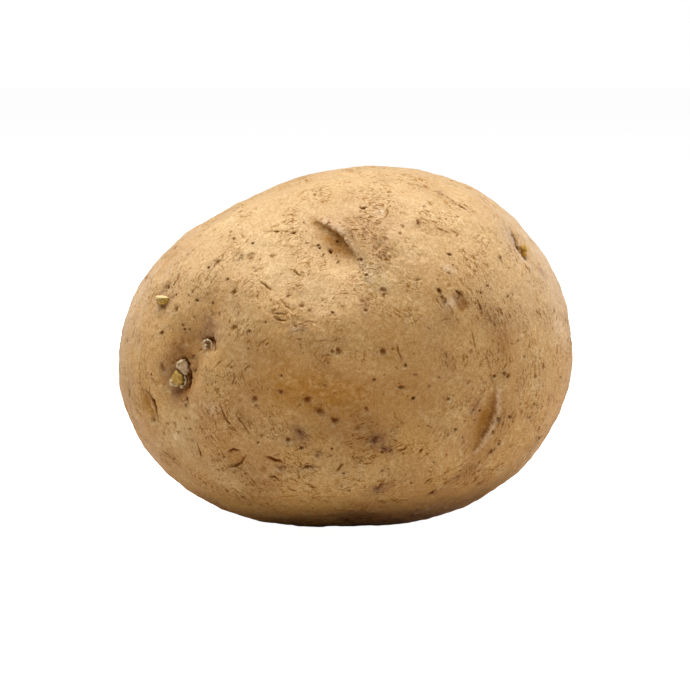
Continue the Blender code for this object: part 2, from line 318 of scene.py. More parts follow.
class Surface:
    """A closed surface round the tuber's middle that finer meshes are laid on."""

    ROUND_SHARE = 0.8  # how far points of a flat face move onto the round surface
    REACH = 200.0  # farther from the middle than any of the skin

    def __init__(self, points: np.ndarray, faces: np.ndarray) -> None:
        """Keeps the surface and makes its tree.

        Args:
            points: its vertices.
            faces: its triangles.
        """
        self.points, self.faces = points, faces
        self.normals = corner_normals(points, faces)
        self.middle = 0.5 * (points.min(axis=0) + points.max(axis=0))
        self.tree = BVHTree.FromPolygons(points.tolist(), faces.tolist())

    def rounded(self, hits: np.ndarray, found: np.ndarray) -> tuple[np.ndarray, np.ndarray]:
        """Points of the flat faces moved onto the round surface that the normals stand for.

        Args:
            hits: points of the faces.
            found: the face of each point.

        Returns:
            The points and their normals.
        """
        corners = self.faces[found]
        trio = [self.points[corners[:, k]] for k in range(3)]
        # A corner's share is the part of the face that lies across from it.
        share = np.stack(
            [np.linalg.norm(np.cross(trio[k - 1] - trio[k - 2], hits - trio[k - 2]), axis=1)
             for k in range(3)],
            axis=1,
        )
        share /= share.sum(axis=1, keepdims=True)
        moved, normals = np.zeros_like(hits), np.zeros_like(hits)
        for k, corner in enumerate(trio):
            normal = self.normals[corners[:, k]]
            off = np.einsum("ij,ij->i", hits - corner, normal)
            moved += share[:, [k]] * (hits - off[:, None] * normal)
            normals += share[:, [k]] * normal
        return hits + self.ROUND_SHARE * (moved - hits), unit(normals)

    def lay(self, ways: np.ndarray) -> tuple[np.ndarray, np.ndarray]:
        """Where the surface lies in each direction from the middle.

        Args:
            ways: unit vectors.

        Returns:
            The points and their normals.
        """
        hits = np.empty_like(ways)
        found = np.empty(len(ways), int)
        for i, way in enumerate(ways):
            start = Vector(self.middle + self.REACH * way)
            hits[i], _, found[i], _ = self.tree.ray_cast(start, Vector(-way))
        return self.rounded(hits, found)

    def seen(self, spot: Spot) -> tuple[np.ndarray, np.ndarray]:
        """The point that a viewer sees at a spot.

        Args:
            spot: the place.

        Returns:
            The point and its outward normal.
        """
        hit, _, face, _ = self.tree.ray_cast(*SIGHT.ray(spot))
        if hit is None:
            raise ValueError(f"{spot} is off the skin")
        points, normals = self.rounded(np.array(hit)[None], np.array([face]))
        return points[0], normals[0]

    def frame_at(self, spot: Spot, turn: float = 0.0) -> tuple[np.ndarray, ...]:
        """The point at a spot, with directions along the skin from it.

        Args:
            spot: the place.
            turn: degrees from across to the first direction, anticlockwise.

        Returns:
            The point, the first direction, and the second to its left.
        """
        point, normal = self.seen(spot)
        across, up, _ = SIGHT.axes(spot.azimuth)
        angle = math.radians(turn)
        first = np.array(across * math.cos(angle) + up * math.sin(angle))
        first = unit(first - normal * (first @ normal))
        return point, first, np.cross(normal, first)


def packed_surface(node: str) -> Surface:
    """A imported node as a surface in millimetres, with its doubled vertices made one.

    Args:
        node: the node's name.

    Returns:
        The surface.
    """
    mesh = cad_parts[node].data
    mesh.calc_loop_triangles()
    points = np.empty(3 * len(mesh.vertices))
    mesh.vertices.foreach_get("co", points)
    faces = np.empty(3 * len(mesh.loop_triangles), int)
    mesh.loop_triangles.foreach_get("vertices", faces)
    rounded, index = np.unique(
        np.round(points.reshape(-1, 3) / MM, 3), axis=0, return_inverse=True
    )
    faces = index.reshape(-1)[faces].reshape(-1, 3)
    whole = (faces != np.roll(faces, 1, axis=1)).all(axis=1)
    return Surface(rounded, faces[whole])


# ---------------------------------------------------------------- the skin and its marks


class Tint(Enum):
    """What a mark can paint on the skin, by how much of it, from 0 to 1."""

    DIRT = "dirt"  # dead cork and grime in a pit, crack or crease, and painted shade there: darker under a pit's upper edge, at a brow's foot and beside the buds
    CORK = "cork"  # rough brown scabby skin
    TORN = "torn"  # pale skin that was rubbed or torn and has healed
    OCHRE = "ochre"  # a warm yellow-brown: smooth skin in the hollows, and painted shade in the hollows and under the brows
    PLUM = "plum"  # purplish grey: bruises and eyes, and painted shade round the buds and on the underside
    PALE = "pale"  # a lighter tone: lighter skin, and painted highlight on the top, the shoulders, the bulges and the lower lips of pits


class Skin:
    """The fine skin while it is being carved and painted."""

    def __init__(self, base: Surface, ball: Ball) -> None:
        """Lays the ball on the base.

        Args:
            base: the smooth surface under the marks.
            ball: the mesh of the skin.
        """
        self.base, self.ball = base, ball
        self.points, self.normals = base.lay(ball.ways)
        self.height = np.zeros(len(self.points))
        self.tints = {tint: np.zeros(len(self.points)) for tint in Tint}
        self.wobble = Ripple(1.3, 11).at(self.points)
        self.ragged = Ripple(0.7, 12).at(self.points) + 0.7 * Ripple(2.6, 13).at(self.points)

    def near(self, centre: np.ndarray, reach: float) -> np.ndarray:
        """The numbers of the vertices within reach of a point."""
        return np.flatnonzero(((self.points - centre) ** 2).sum(axis=1) < reach**2)

    def paint(self, tint: Tint, where: np.ndarray, amount: np.ndarray) -> None:
        """Adds to a tint, so that marks that overlap never pass 1.

        Args:
            tint: the tint.
            where: the numbers of the vertices.
            amount: how much of it, from 0 to 1.
        """
        had = self.tints[tint][where]
        self.tints[tint][where] = 1 - (1 - had) * (1 - np.clip(amount, 0, 1))

    def carved(self) -> np.ndarray:
        """The vertices' places with the relief on them, none of them under the table."""
        points = self.points + self.normals * self.height[:, None]
        points[:, 2] = np.maximum(points[:, 2], 0.0)
        return points


@dataclass(frozen=True)
class Need:
    """That the skin's mesh has cells no larger than this round a point."""

    point: np.ndarray
    reach: float
    cell: float


FINEST = 0.17  # the smallest cell that any mark asks for


class Mark(Protocol):
    """Anything that lies on the skin."""

    def needs(self, base: Surface) -> list[Need]:
        """Where the mark needs a finer mesh."""
        ...

    def carve(self, skin: Skin) -> None:
        """Carves and paints the mark."""
        ...


@dataclass(frozen=True)
class Pit:
    """A pore, a nick or a small hole: a mouth with a rim, with grime and painted shade in it."""

    spot: Spot
    width: float
    depth: float
    dirt: float = 0.8
    rim: float = 0.04
    stretch: float = 1.0  # how much longer it is one way than the other
    turn: float = 0.0
    halo: float = 0.0  # a bruise round it
    cork: float = 0.0
    cell: float = FINEST

    LIP_AT = 1.45  # the crest of the lip, where the mouth's edge is 1
    LIP_SPREAD = 0.42

    def needs(self, base: Surface) -> list[Need]:
        """Cells of about a quarter of its width."""
        point, _ = base.seen(self.spot)
        size = self.width * max(1.0, 0.5 * self.stretch)
        return [Need(point, 0.85 * size + 0.1, max(self.cell, self.width / 4))]

    def carve(self, skin: Skin) -> None:
        """A ragged hollow with painted shade under its upper edge, and a higher lip at its lower one
        that carries a painted highlight.

        Args:
            skin: the skin that it is carved in.
        """
        point, first, second = skin.base.frame_at(self.spot, self.turn)
        where = skin.near(point, self.width * max(1.0, self.stretch) * 2.2 + 0.4)
        offset = skin.points[where] - point
        u = offset @ first / (0.5 * self.width * self.stretch)
        v = offset @ second / (0.5 * self.width)
        uneven = 1 + 0.12 * skin.wobble[where] + 0.2 * skin.ragged[where]
        level = np.hypot(u, v) * np.clip(uneven, 0.65, 1.6)
        up = np.array(SIGHT.axes(self.spot.azimuth)[1])
        over = np.clip(offset @ up / (0.6 * self.width), -1, 1)  # 1 at its upper edge
        lip = hump(level, self.LIP_AT, self.LIP_SPREAD) * (1 + 0.5 * skin.wobble[where])
        lip = lip * (1 - 0.7 * over)
        skin.height[where] += self.rim * lip - self.depth * hump(level, 0, 1, 2.6)
        # Painted shade: the mouth is painted darker towards its upper edge, which the overhang shades.
        soil_and_shade = 1.1 * self.dirt * (0.74 + 0.26 * over)
        skin.paint(Tint.DIRT, where, soil_and_shade * hump(level, 0, 0.85, 4))
        # Painted highlight: the lower lip, which faces the light from above, is painted lighter.
        skin.paint(Tint.PALE, where, 0.5 * lip * (over < 0) * self.dirt)
        skin.paint(Tint.PLUM, where, self.halo * hump(level, 0, 1.9))
        skin.paint(Tint.CORK, where, self.cork * hump(level, 0, 1.6, 4))


@dataclass(frozen=True)
class Track:
    """A smooth path over the skin through places that a viewer sees."""

    places: tuple[tuple[float, float], ...]
    azimuth: float = 0.0

    def on(self, base: Surface) -> tuple[np.ndarray, np.ndarray]:
        """The path's points and normals, with its corners rounded.

        Args:
            base: the surface that it lies on.

        Returns:
            The points and the normals.
        """
        seen = [base.seen(Spot(across, up, self.azimuth)) for across, up in self.places]
        line = np.array([np.concatenate(pair) for pair in seen])
        for _ in range(2 if len(line) > 2 else 0):
            inner = [
                (1 - share) * start + share * end
                for start, end in zip(line, line[1:])
                for share in (0.25, 0.75)
            ]
            line = np.array([line[0], *inner[1:-1], line[-1]])
        return line[:, :3], unit(line[:, 3:])

    def needs(self, base: Surface, reach: float, cell: float) -> list[Need]:
        """Needs in a row along the path.

        Args:
            base: the surface that it lies on.
            reach: how far from the path each need reaches.
            cell: the largest cell there.

        Returns:
            The needs.
        """
        points, _ = self.on(base)
        needs = []
        for start, end in zip(points, points[1:]):
            steps = max(1, int(np.linalg.norm(end - start) / (0.8 * reach)) + 1)
            needs += [Need(start + (end - start) * k / steps, reach, cell) for k in range(steps + 1)]
        return needs

    def beside(self, skin: Skin, reach: float) -> tuple[np.ndarray, np.ndarray, np.ndarray]:
        """The vertices near the path.

        Args:
            skin: the skin.
            reach: how far from the path they may lie.

        Returns:
            Their numbers, their distances from it, positive to its left, and their shares
            along it.
        """
        points, normals = self.on(skin.base)
        middle = 0.5 * (points.min(axis=0) + points.max(axis=0))
        where = skin.near(middle, np.linalg.norm(points - middle, axis=1).max() + reach)
        places = skin.points[where]
        nearest = np.full(len(where), np.inf)
        distance, share = np.zeros(len(where)), np.zeros(len(where))
        lengths = np.linalg.norm(np.diff(points, axis=0), axis=1)
        done = np.concatenate([[0.0], np.cumsum(lengths)]) / lengths.sum()
        for i, (start, end) in enumerate(zip(points, points[1:])):
            way = end - start
            t = np.clip((places - start) @ way / (way @ way), 0, 1)
            offset = places - (start + t[:, None] * way)
            gap = np.linalg.norm(offset, axis=1)
            closer = gap < nearest
            side = np.sign(offset @ np.cross(normals[i], way))
            nearest[closer] = gap[closer]
            distance[closer] = (side * gap)[closer]
            share[closer] = (done[i] + t * (done[i + 1] - done[i]))[closer]
        keep = nearest < reach
        return where[keep], distance[keep], share[keep]


@dataclass(frozen=True)
class Cut:
    """A scratch or a crack: a groove along a track, with a lip on one or both sides."""

    track: Track
    width: float
    depth: float
    dirt: float
    lip: float = 0.05  # on the left side of the track
    far_lip: float = 0.0  # on its right side
    broken: float = 0.0  # how much it comes and goes along its way

    LIP_AT = 1.7  # the crest of a lip, where the groove's edge is 1
    LIP_SPREAD = 0.8

    def needs(self, base: Surface) -> list[Need]:
        """Cells of a third of its width along it."""
        return self.track.needs(base, 1.1 * self.width + 0.15, max(FINEST, self.width / 2.8))

    def carve(self, skin: Skin) -> None:
        """A groove that tapers out at both ends.

        Args:
            skin: the skin that it is carved in.
        """
        where, distance, share = self.track.beside(skin, 4 * self.width + 0.3)
        across = (distance + 0.18 * self.width * skin.wobble[where]) / (0.5 * self.width)
        strength = np.sin(math.pi * np.clip(share, 0.02, 0.98)) ** 0.5
        strength = strength * np.clip(1 + self.broken * skin.ragged[where], 0, 1.5)
        left, right = (hump(across, at, self.LIP_SPREAD) for at in (self.LIP_AT, -self.LIP_AT))
        groove = hump(across, 0, 1, 2.2)
        relief = self.lip * left + self.far_lip * right - self.depth * groove
        skin.height[where] += strength * relief
        # The groove is painted darker: grime in it, and painted shade.
        skin.paint(Tint.DIRT, where, self.dirt * strength * hump(across, 0, 0.95, 4))


@dataclass(frozen=True)
class Brow:
    """The crisp edge of a brow or a wound, on a step that the solid already has."""

    track: Track
    step: float  # how much of the step's height is made crisp
    soft: float  # half the width of the slope that the solid has there
    crisp: float = 0.14  # half the width of the slope after it
    groove: float = 0.0  # the depth of the crease at its foot
    dirt: float = 0.5
    torn: float = 0.0
    torn_width: float = 1.2

    def needs(self, base: Surface) -> list[Need]:
        """Fine cells along the edge, and medium ones beside it."""
        return self.track.needs(base, 0.8, FINEST) + self.track.needs(base, 2.0, 2 * FINEST)

    def carve(self, skin: Skin) -> None:
        """Trades the soft slope for a crisp one, with a crease at its foot.

        Args:
            skin: the skin that it is carved in.
        """
        where, distance, share = self.track.beside(skin, 4 * self.soft + 2 * self.torn_width)
        ragged = skin.ragged[where]
        strength = np.sin(math.pi * np.clip(share, 0.0, 1.0)) ** 0.7
        edge = distance + 0.09 * ragged
        sharper = np.tanh(edge / self.crisp) - np.tanh(edge / self.soft)
        crease = hump(edge, -1.1 * self.crisp, 0.2)
        skin.height[where] += strength * (0.5 * self.step * sharper - self.groove * crease)
        # The crease at the step's foot is painted darker: grime and painted shade.
        skin.paint(Tint.DIRT, where, self.dirt * strength * crease)
        if self.torn:
            band = hump(edge, 0.55 * self.torn_width, 0.5 * self.torn_width, 4)
            flaky = np.clip(0.85 + 0.3 * ragged, 0, 1)
            skin.paint(Tint.TORN, where, self.torn * band * flaky * strength**0.5)
            skin.height[where] += 0.025 * band * ragged * strength


@dataclass(frozen=True)
class Patch:
    """An area of the skin with another tint or a rougher grain, with a soft ragged edge."""

    spot: Spot
    long: float  # half its length
    short: float  # half its width
    amount: float
    turn: float = 0.0
    rough: float = 0.0  # the height of its lumps
    sink: float = 0.0
    ragged: float = 0.3  # how uneven its edge and its inside are
    edge: float = 2.0  # the power of its falling off: 2 is soft, and 8 is a plain edge
    square: float = 2.0  # 2 for an oval, more for a shape with corners
    tint: Tint = Tint.OCHRE

    def needs(self, base: Surface) -> list[Need]:
        """Cells as fine as its lumps or its edge ask."""
        if self.rough < 0.04 and self.edge < 3:
            return []
        point, _ = base.seen(self.spot)
        return [Need(point, 1.1 * self.long, 0.3 if self.long < 3 else 0.42)]

    def carve(self, skin: Skin) -> None:
        """Paints the tint, and lifts and sinks the skin within the patch.

        Args:
            skin: the skin that it is carved in.
        """
        point, first, second = skin.base.frame_at(self.spot, self.turn)
        where = skin.near(point, 2.4 * self.long)
        offset = skin.points[where] - point
        sides = np.abs([offset @ first / self.long, offset @ second / self.short])
        level = (sides**self.square).sum(axis=0) ** (1 / self.square)
        uneven = self.ragged * skin.ragged[where]
        inside = hump(level * (1 + 0.36 * uneven), 0, 1, self.edge)
        skin.paint(self.tint, where, self.amount * inside * (1 + uneven))
        skin.height[where] += inside * (self.rough * skin.ragged[where] - self.sink)


def refined_skin(base: Surface, marks: list[Mark], cells: int, front_cell: float) -> Skin:
    """The skin's mesh, made finer where the marks need it.

    Args:
        base: the smooth surface.
        marks: everything that lies on it.
        cells: how many cells lie along each edge of the coarsest mesh's cube.
        front_cell: the largest cell on the side that is looked at most, in millimetres.

    Returns:
        The skin, not carved yet.
    """
    ball = Ball(cells)
    needs = [need for mark in marks for need in mark.needs(base)]
    trees = {}
    for cell in sorted({round(need.cell, 2) for need in needs}):
        chosen = [need for need in needs if round(need.cell, 2) == cell]
        tree = KDTree(len(chosen))
        for i, need in enumerate(chosen):
            tree.insert(need.point, i)
        tree.balance()
        trees[cell] = (tree, chosen, max(need.reach for need in chosen))
    points, _ = base.lay(ball.ways)
    wanted = np.full(len(points), np.inf)
    for _ in range(5):
        fresh = wanted == np.inf
        wanted[fresh] = np.where(ball.ways[fresh, 1] < 0.3, front_cell, 1.4 * front_cell)
        for cell, (tree, chosen, reach) in trees.items():
            for i in np.flatnonzero(fresh & (wanted > cell)):
                found = tree.find_range(points[i], reach)
                if any(gap < chosen[number].reach for _, number, gap in found):
                    wanted[i] = cell
        edges, of_face = mesh_edges(ball.faces)
        length = np.linalg.norm(points[edges[:, 0]] - points[edges[:, 1]], axis=1)
        cut = length > 1.45 * np.minimum(wanted[edges[:, 0]], wanted[edges[:, 1]])
        if not cut.any():
            break
        before = len(ball.ways)
        ball.halve(edges, of_face, cut)
        more, _ = base.lay(ball.ways[before:])
        points = np.concatenate([points, more])
        wanted = np.concatenate([wanted, np.full(len(more), np.inf)])
    return Skin(base, ball)


# ---------------------------------------------------------------- what lies on this tuber


def areas(tint: Tint, *rows: tuple[float, ...], azimuth: float = 0.0, **shape: float) -> list[Mark]:
    """Patches of one tint.

    Args:
        tint: the tint.
        rows: one patch each: across, up, long, short, amount, turn and rough.
        azimuth: the side that they are seen from.
        shape: other fields of a Patch that they share.

    Returns:
        The patches.
    """
    return [Patch(Spot(*row[:2], azimuth), *row[2:], tint=tint, **shape) for row in rows]


def pits(*rows: tuple[float, ...], azimuth: float = 0.0, **shape: float) -> list[Mark]:
    """Pores, nicks and holes.

    Args:
        rows: one pit each: across, up, width, depth, dirt, rim, stretch, turn and halo.
        azimuth: the side that they are seen from.
        shape: other fields of a Pit that they share.

    Returns:
        The pits.
    """
    return [Pit(Spot(*row[:2], azimuth), *row[2:], **shape) for row in rows]


def spots(*rows: tuple[float, ...]) -> list[Mark]:
    """Plain pits in front, with a rim and a bruise that go with how dark they are.

    Args:
        rows: one pit each: across, up, width, depth and how dark it is.

    Returns:
        The pits.
    """
    return [
        Pit(Spot(across, up), 0.88 * width, 1.3 * depth, min(1.35 * dark, 1.0), 0.08,
            halo=0.35 * dark)
        for across, up, width, depth, dark in rows
    ]


def scratches(
    *rows: tuple[Any, ...], lip: float = 0.05, far_lip: float = 0.0, broken: float = 0.0
) -> list[Mark]:
    """Scratches and cracks in front.

    Args:
        rows: one cut each: width, depth, dirt and the places that it runs through.
        lip: the lip on the left side of each.
        far_lip: the lip on its right side.
        broken: how much it comes and goes.

    Returns:
        The cuts.
    """
    return [
        Cut(Track(tuple(places)), width, depth, dirt, lip, far_lip, broken)
        for width, depth, dirt, *places in rows
    ]


def brows() -> list[Brow]:
    """The edges over the eyes and beside the wounds."""
    return [
        Brow(  # the brow over the top eye, with torn skin above it
            Track(((-6.2, 26.2), (-4.4, 25.1), (-2.5, 24.2), (-0.9, 23.2), (0.3, 21.3),
                   (1.4, 19.8), (2.4, 18.2))),
            step=1.7, soft=1.2, crisp=0.3, dirt=0.3, torn=0.55, torn_width=1.5,
        ),
        Brow(  # its lower end, a faint edge with the same torn skin
            Track(((2.4, 18.4), (3.2, 16.8), (4.2, 14.6), (5.0, 12.4))),
            step=0.2, soft=0.9, dirt=0.0, torn=0.6, torn_width=1.3,
        ),
        Brow(  # the brow on the right
            Track(((31.5, -8.4), (31.7, -12.1), (31.2, -14.6), (30.4, -16.9), (28.9, -19.6),
                   (26.6, -22.8))),
            step=1.5, soft=1.2, crisp=0.28, groove=0.03, dirt=0.3, torn=0.5, torn_width=1.2,
        ),
        Brow(  # the wall beside the two buds
            Track(((-33.6, -2.6), (-32.5, -4.0), (-32.2, -6.4), (-32.9, -8.8))),
            step=1.2, soft=0.9, groove=0.15, dirt=0.5,
        ),
        Brow(  # the lifted edge of the wound on the left
            Track(((-42.5, -8.6), (-41.3, -10.0), (-40.5, -11.3), (-40.0, -13.0),
                   (-39.7, -15.4))),
            step=1.6, soft=0.9, groove=0.3, dirt=0.8, torn=0.6, torn_width=0.35,
        ),
        Brow(  # the ring of the eye low on the left
            Track(((-20.6, -22.8), (-21.2, -24.6), (-22.8, -25.6), (-24.9, -25.5))),
            step=0.9, soft=0.8, groove=0.15, dirt=0.5,
        ),
        Brow(  # the eye under the ring's upper edge
            Track(((-24.6, -22.3), (-23.3, -21.6), (-22.0, -22.1))),
            step=0.5, soft=0.4, groove=0.5, dirt=1.0,
        ),
        Brow(  # a faint line from the right brow upwards
            Track(((29.6, -1.6), (30.1, -4.0), (31.1, -5.7))),
            step=0.3, soft=0.5, groove=0.06, dirt=0.3,
        ),
    ]


def eyes() -> list[Mark]:
    """The hollows that the buds sit in, their bruised skin, and painted shade round and below the buds.
    """
    return [
        *areas(Tint.OCHRE, (-33.8, -1.2, 6.4, 3.4, 0.7, 66), sink=0.25),
        *areas(Tint.PLUM,
            (-34.8, -1.0, 5.0, 2.6, 0.35, 66), (-28.4, 4.4, 3.0, 2.2, 0.65, -50, 0.05),
        ),
        # Painted shade: purplish patches darken the valley round and below the buds and round the ring
        # bud.
        *areas(Tint.PLUM, (-34.8, -6.2, 4.4, 2.6, 0.8, 62), sink=0.6),
        *areas(Tint.OCHRE, (-33.8, -9.2, 2.2, 1.8, 0.9), sink=0.4),
        *areas(Tint.PLUM,
            (-29.4, 1.6, 3.0, 1.8, 0.6), (-35.0, -9.2, 3.6, 2.4, 0.85, 60), sink=0.2,
        ),
        *areas(Tint.PLUM, (-38.0, 11.5, 2.4, 0.85, 0.45, 24), sink=0.14, edge=6),
        *pits(
            (-34.7, -7.1, 2.8, 0.6, 0.3, 0.0, 1.15, 60), (-28.5, 0.0, 2.5, 0.6, 0.5, 0.0, 1.0, 0, 0.4),
            (-37.9, 8.8, 3.0, 0.35, 0.35, 0.0, 1.2, 0, 0.3),
            (-37.2, 12.2, 0.7, 0.35, 0.95, 0.04, 1.6, 60), (-35.8, 12.9, 0.5, 0.2, 0.7, 0.04, 1.8, 50),
            (-33.3, -11.4, 1.0, 0.26, 0.7, 0.14, 1.0, 40, 0.4),
        ),
        # Dark crescents beside the buds and round the ring bud: grooves painted dark as the buds' shade.
        *scratches(
            (0.8, 0.7, 0.95, (-34.2, -2.8), (-32.9, -3.6), (-32.5, -6.2), (-32.8, -8.4), (-33.8, -9.4)),
            (0.8, 0.5, 0.85, (-29.9, 0.9), (-29.2, 1.6), (-28.2, 1.5), (-27.5, 0.6), (-27.4, -1.4)),
            (0.6, 0.5, 0.9, (-34.8, -5.9), (-33.6, -6.1), (-32.6, -6.5)),
        ),
        # The wound on the left: a flap of skin with a dark gap behind it.
        *scratches(
            (0.7, 0.6, 0.9, (-41.6, -9.4), (-40.3, -11.2), (-39.6, -13.2), (-39.3, -15.6)),
            far_lip=0.25,
        ),
        # The small eye on the right shoulder, seen from its edge.
        *areas(Tint.PLUM, (36.4, 20.8, 4.6, 1.6, 0.4, -60), sink=0.2),
        *pits(
            (35.7, 22.3, 1.2, 0.8, 1.0, 0.04, 2.0, -62), (36.4, 20.7, 1.2, 0.8, 1.0, 0.04, 1.6, -62),
            (37.3, 18.9, 1.4, 0.9, 1.0, 0.04, 1.6, -62),
        ),
    ]


def tinted_areas() -> list[Mark]:
    """Areas of another tint or grain, in front."""
    return [
        # Painted shade: a darker, warmer tone in the basins under the top brow and beside the right
        # brow.
        *areas(Tint.OCHRE,
            (-2.4, 21.2, 4.8, 2.2, 0.75, -50), (-1.3, 22.3, 4.4, 1.7, 1.0, -44),
            (-6.2, 25.8, 1.8, 0.8, 0.8, -35), (29.0, -15.8, 5.0, 2.1, 0.85, 76),
        ),
        *areas(Tint.OCHRE, (-41.6, -12.0, 3.6, 1.2, 0.7, -62), sink=0.25, edge=5),
        *areas(Tint.OCHRE, (-22.9, -23.7, 1.9, 1.7, 0.6), sink=-0.18, edge=6),
        # The wide hollow across the middle is smooth and yellow, and its darker, warmer tone is also
        # painted shade.
        *areas(Tint.OCHRE,
            (-5.0, -9.8, 15.0, 7.0, 0.95, -8), (-14.0, -3.4, 6.0, 4.0, 0.4, -40),
            (14.6, -8.3, 5.0, 5.0, 0.4), (0.0, 4.5, 36.0, 7.0, 0.15), (11.0, 1.0, 9.0, 3.6, 0.3, -20),
            (-27.0, 8.8, 5.0, 3.0, 0.35, 30), (-36.0, 19.0, 5.0, 4.0, 0.4),
            (21.5, 10.0, 11.0, 6.0, 0.25, -75),
        ),
        # Painted shade: a purplish darkening in the hollow.
        *areas(Tint.PLUM, (-1.5, -6.4, 5.0, 2.6, 0.22)),
        *areas(Tint.PALE, (-23.4, -3.2, 3.0, 4.0, 0.25)),
        # Lighter patches: painted highlight on the shoulders, the bulges and the top, painted light
        # lower down, and some lighter skin.
        *areas(Tint.PALE,
            (-18.3, 21.5, 10.0, 5.0, 0.5, 25), (-6.0, 10.0, 7.0, 4.5, 0.55, -30),
            (6.4, 14.6, 4.0, 2.8, 0.9, -60), (12.0, 20.0, 5.0, 4.0, 0.2), (-14.8, 15.0, 4.5, 3.5, 0.5),
            (-30.0, 14.8, 4.0, 3.0, 0.35), (4.0, 35.0, 16.0, 8.0, 0.25),
            (-24.0, 26.0, 9.0, 7.0, 0.5, 30), (23.0, 26.6, 9.0, 4.0, 0.45, -25),
            (-21.0, 5.0, 4.0, 3.5, 0.55), (-35.0, -18.6, 6.0, 7.0, 0.55), (-28.0, -7.5, 3.6, 3.2, 0.4),
            (-25.0, -28.0, 6.0, 4.0, 0.5, -30), (-14.0, -17.4, 7.0, 4.0, 0.3),
            (21.5, -17.5, 4.0, 7.0, 0.2), (39.7, -9.3, 3.0, 8.0, 0.25), (-2.0, -28.0, 16.0, 5.0, 0.3),
        ),
        *areas(Tint.OCHRE, (0.4, 30.6, 6.0, 3.0, 0.3)),
        # Painted shade: the underside is painted darker and purplish along the floor.
        *areas(Tint.PLUM, (10.0, -36.6, 26.0, 7.0, 0.7)),
        # Scabby, netted skin.
        *areas(Tint.CORK, (4.0, 24.2, 5.6, 3.8, 0.65, -42, 0.09), ragged=0.2),
        *areas(Tint.CORK,
            (8.2, 19.2, 2.8, 2.2, 0.8, -30, 0.08), (12.0, 15.0, 3.4, 2.2, 0.2, 0, 0.06),
            (-9.6, 2.6, 3.6, 2.4, 0.4, -60, 0.1), (-5.0, -3.4, 2.6, 1.8, 0.5, -70, 0.08),
            (-1.0, 1.6, 1.8, 1.6, 0.3, 0, 0.08), (31.0, 5.6, 6.0, 3.2, 0.6, -60, 0.04),
            (32.5, 0.0, 5.0, 2.4, 0.4, 80, 0.02), (-10.8, 12.0, 2.0, 1.6, 0.55, 20),
            (-21.4, -15.4, 2.0, 3.2, 0.3, 30, 0.04), (-32.4, -20.0, 4.0, 1.9, 0.4, -55, 0.04),
            (-30.0, -24.6, 4.0, 1.6, 0.3, -40, 0.03), (-18.0, -28.8, 6.0, 2.2, 0.3, -6, 0.02),
            (4.0, -16.4, 4.0, 3.0, 0.4, 30, 0.03), (0.6, -25.6, 5.0, 1.4, 0.2, 16),
            (24.0, -27.6, 5.0, 1.4, 0.4, 28), (33.6, -16.4, 4.6, 2.2, 0.45, 70, 0.03),
            (37.0, -8.0, 5.0, 2.0, 0.35, 80), (22.0, 5.2, 2.0, 1.2, 0.45, -40, 0.05),
            (21.4, -3.4, 3.4, 1.2, 0.35, -60, 0.05),
        ),
        *areas(Tint.PALE, (14.2, 20.4, 2.8, 2.4, 0.35, 0, 0.09)),
        *areas(Tint.PLUM,
            (6.6, -20.0, 2.0, 1.4, 0.9, 0, 0.05), (8.6, -21.6, 2.4, 1.4, 0.6, -30, 0.05),
            (-9.2, -18.6, 1.6, 0.9, 0.9, -40), ragged=0.8,
        ),
        *areas(Tint.PLUM,
            (4.3, 8.4, 1.7, 1.2, 0.35, 70), (-9.6, -20.3, 2.4, 1.0, 0.5, -10),
            (7.7, -30.4, 1.8, 0.8, 0.55, 35), (18.5, -31.0, 1.6, 0.5, 0.7, 35),
            (24.6, -20.0, 3.0, 1.4, 0.12, 50), (27.6, -12.6, 2.0, 1.0, 0.5, 60),
        ),
        *areas(Tint.TORN,
            (-10.4, 3.4, 1.2, 0.8, 0.5, 0, 0.08), (21.9, 16.0, 1.5, 0.9, 0.6, -20),
        ),
        # The two places where a flake has come off.
        *areas(Tint.TORN, (7.3, 27.8, 1.5, 1.3, 0.35, -20), sink=0.18, ragged=0.1, edge=8),
        *areas(Tint.OCHRE, (8.6, 27.6, 1.3, 0.45, 0.9, 78), edge=4),
        *areas(Tint.OCHRE, (24.3, 9.2, 2.0, 1.25, 0.8, -60), sink=0.2, ragged=0.05, edge=9, square=5),
        *areas(Tint.PLUM, (24.3, 9.2, 2.0, 1.25, 0.45, -60), ragged=0.05, edge=9, square=5),
    ]


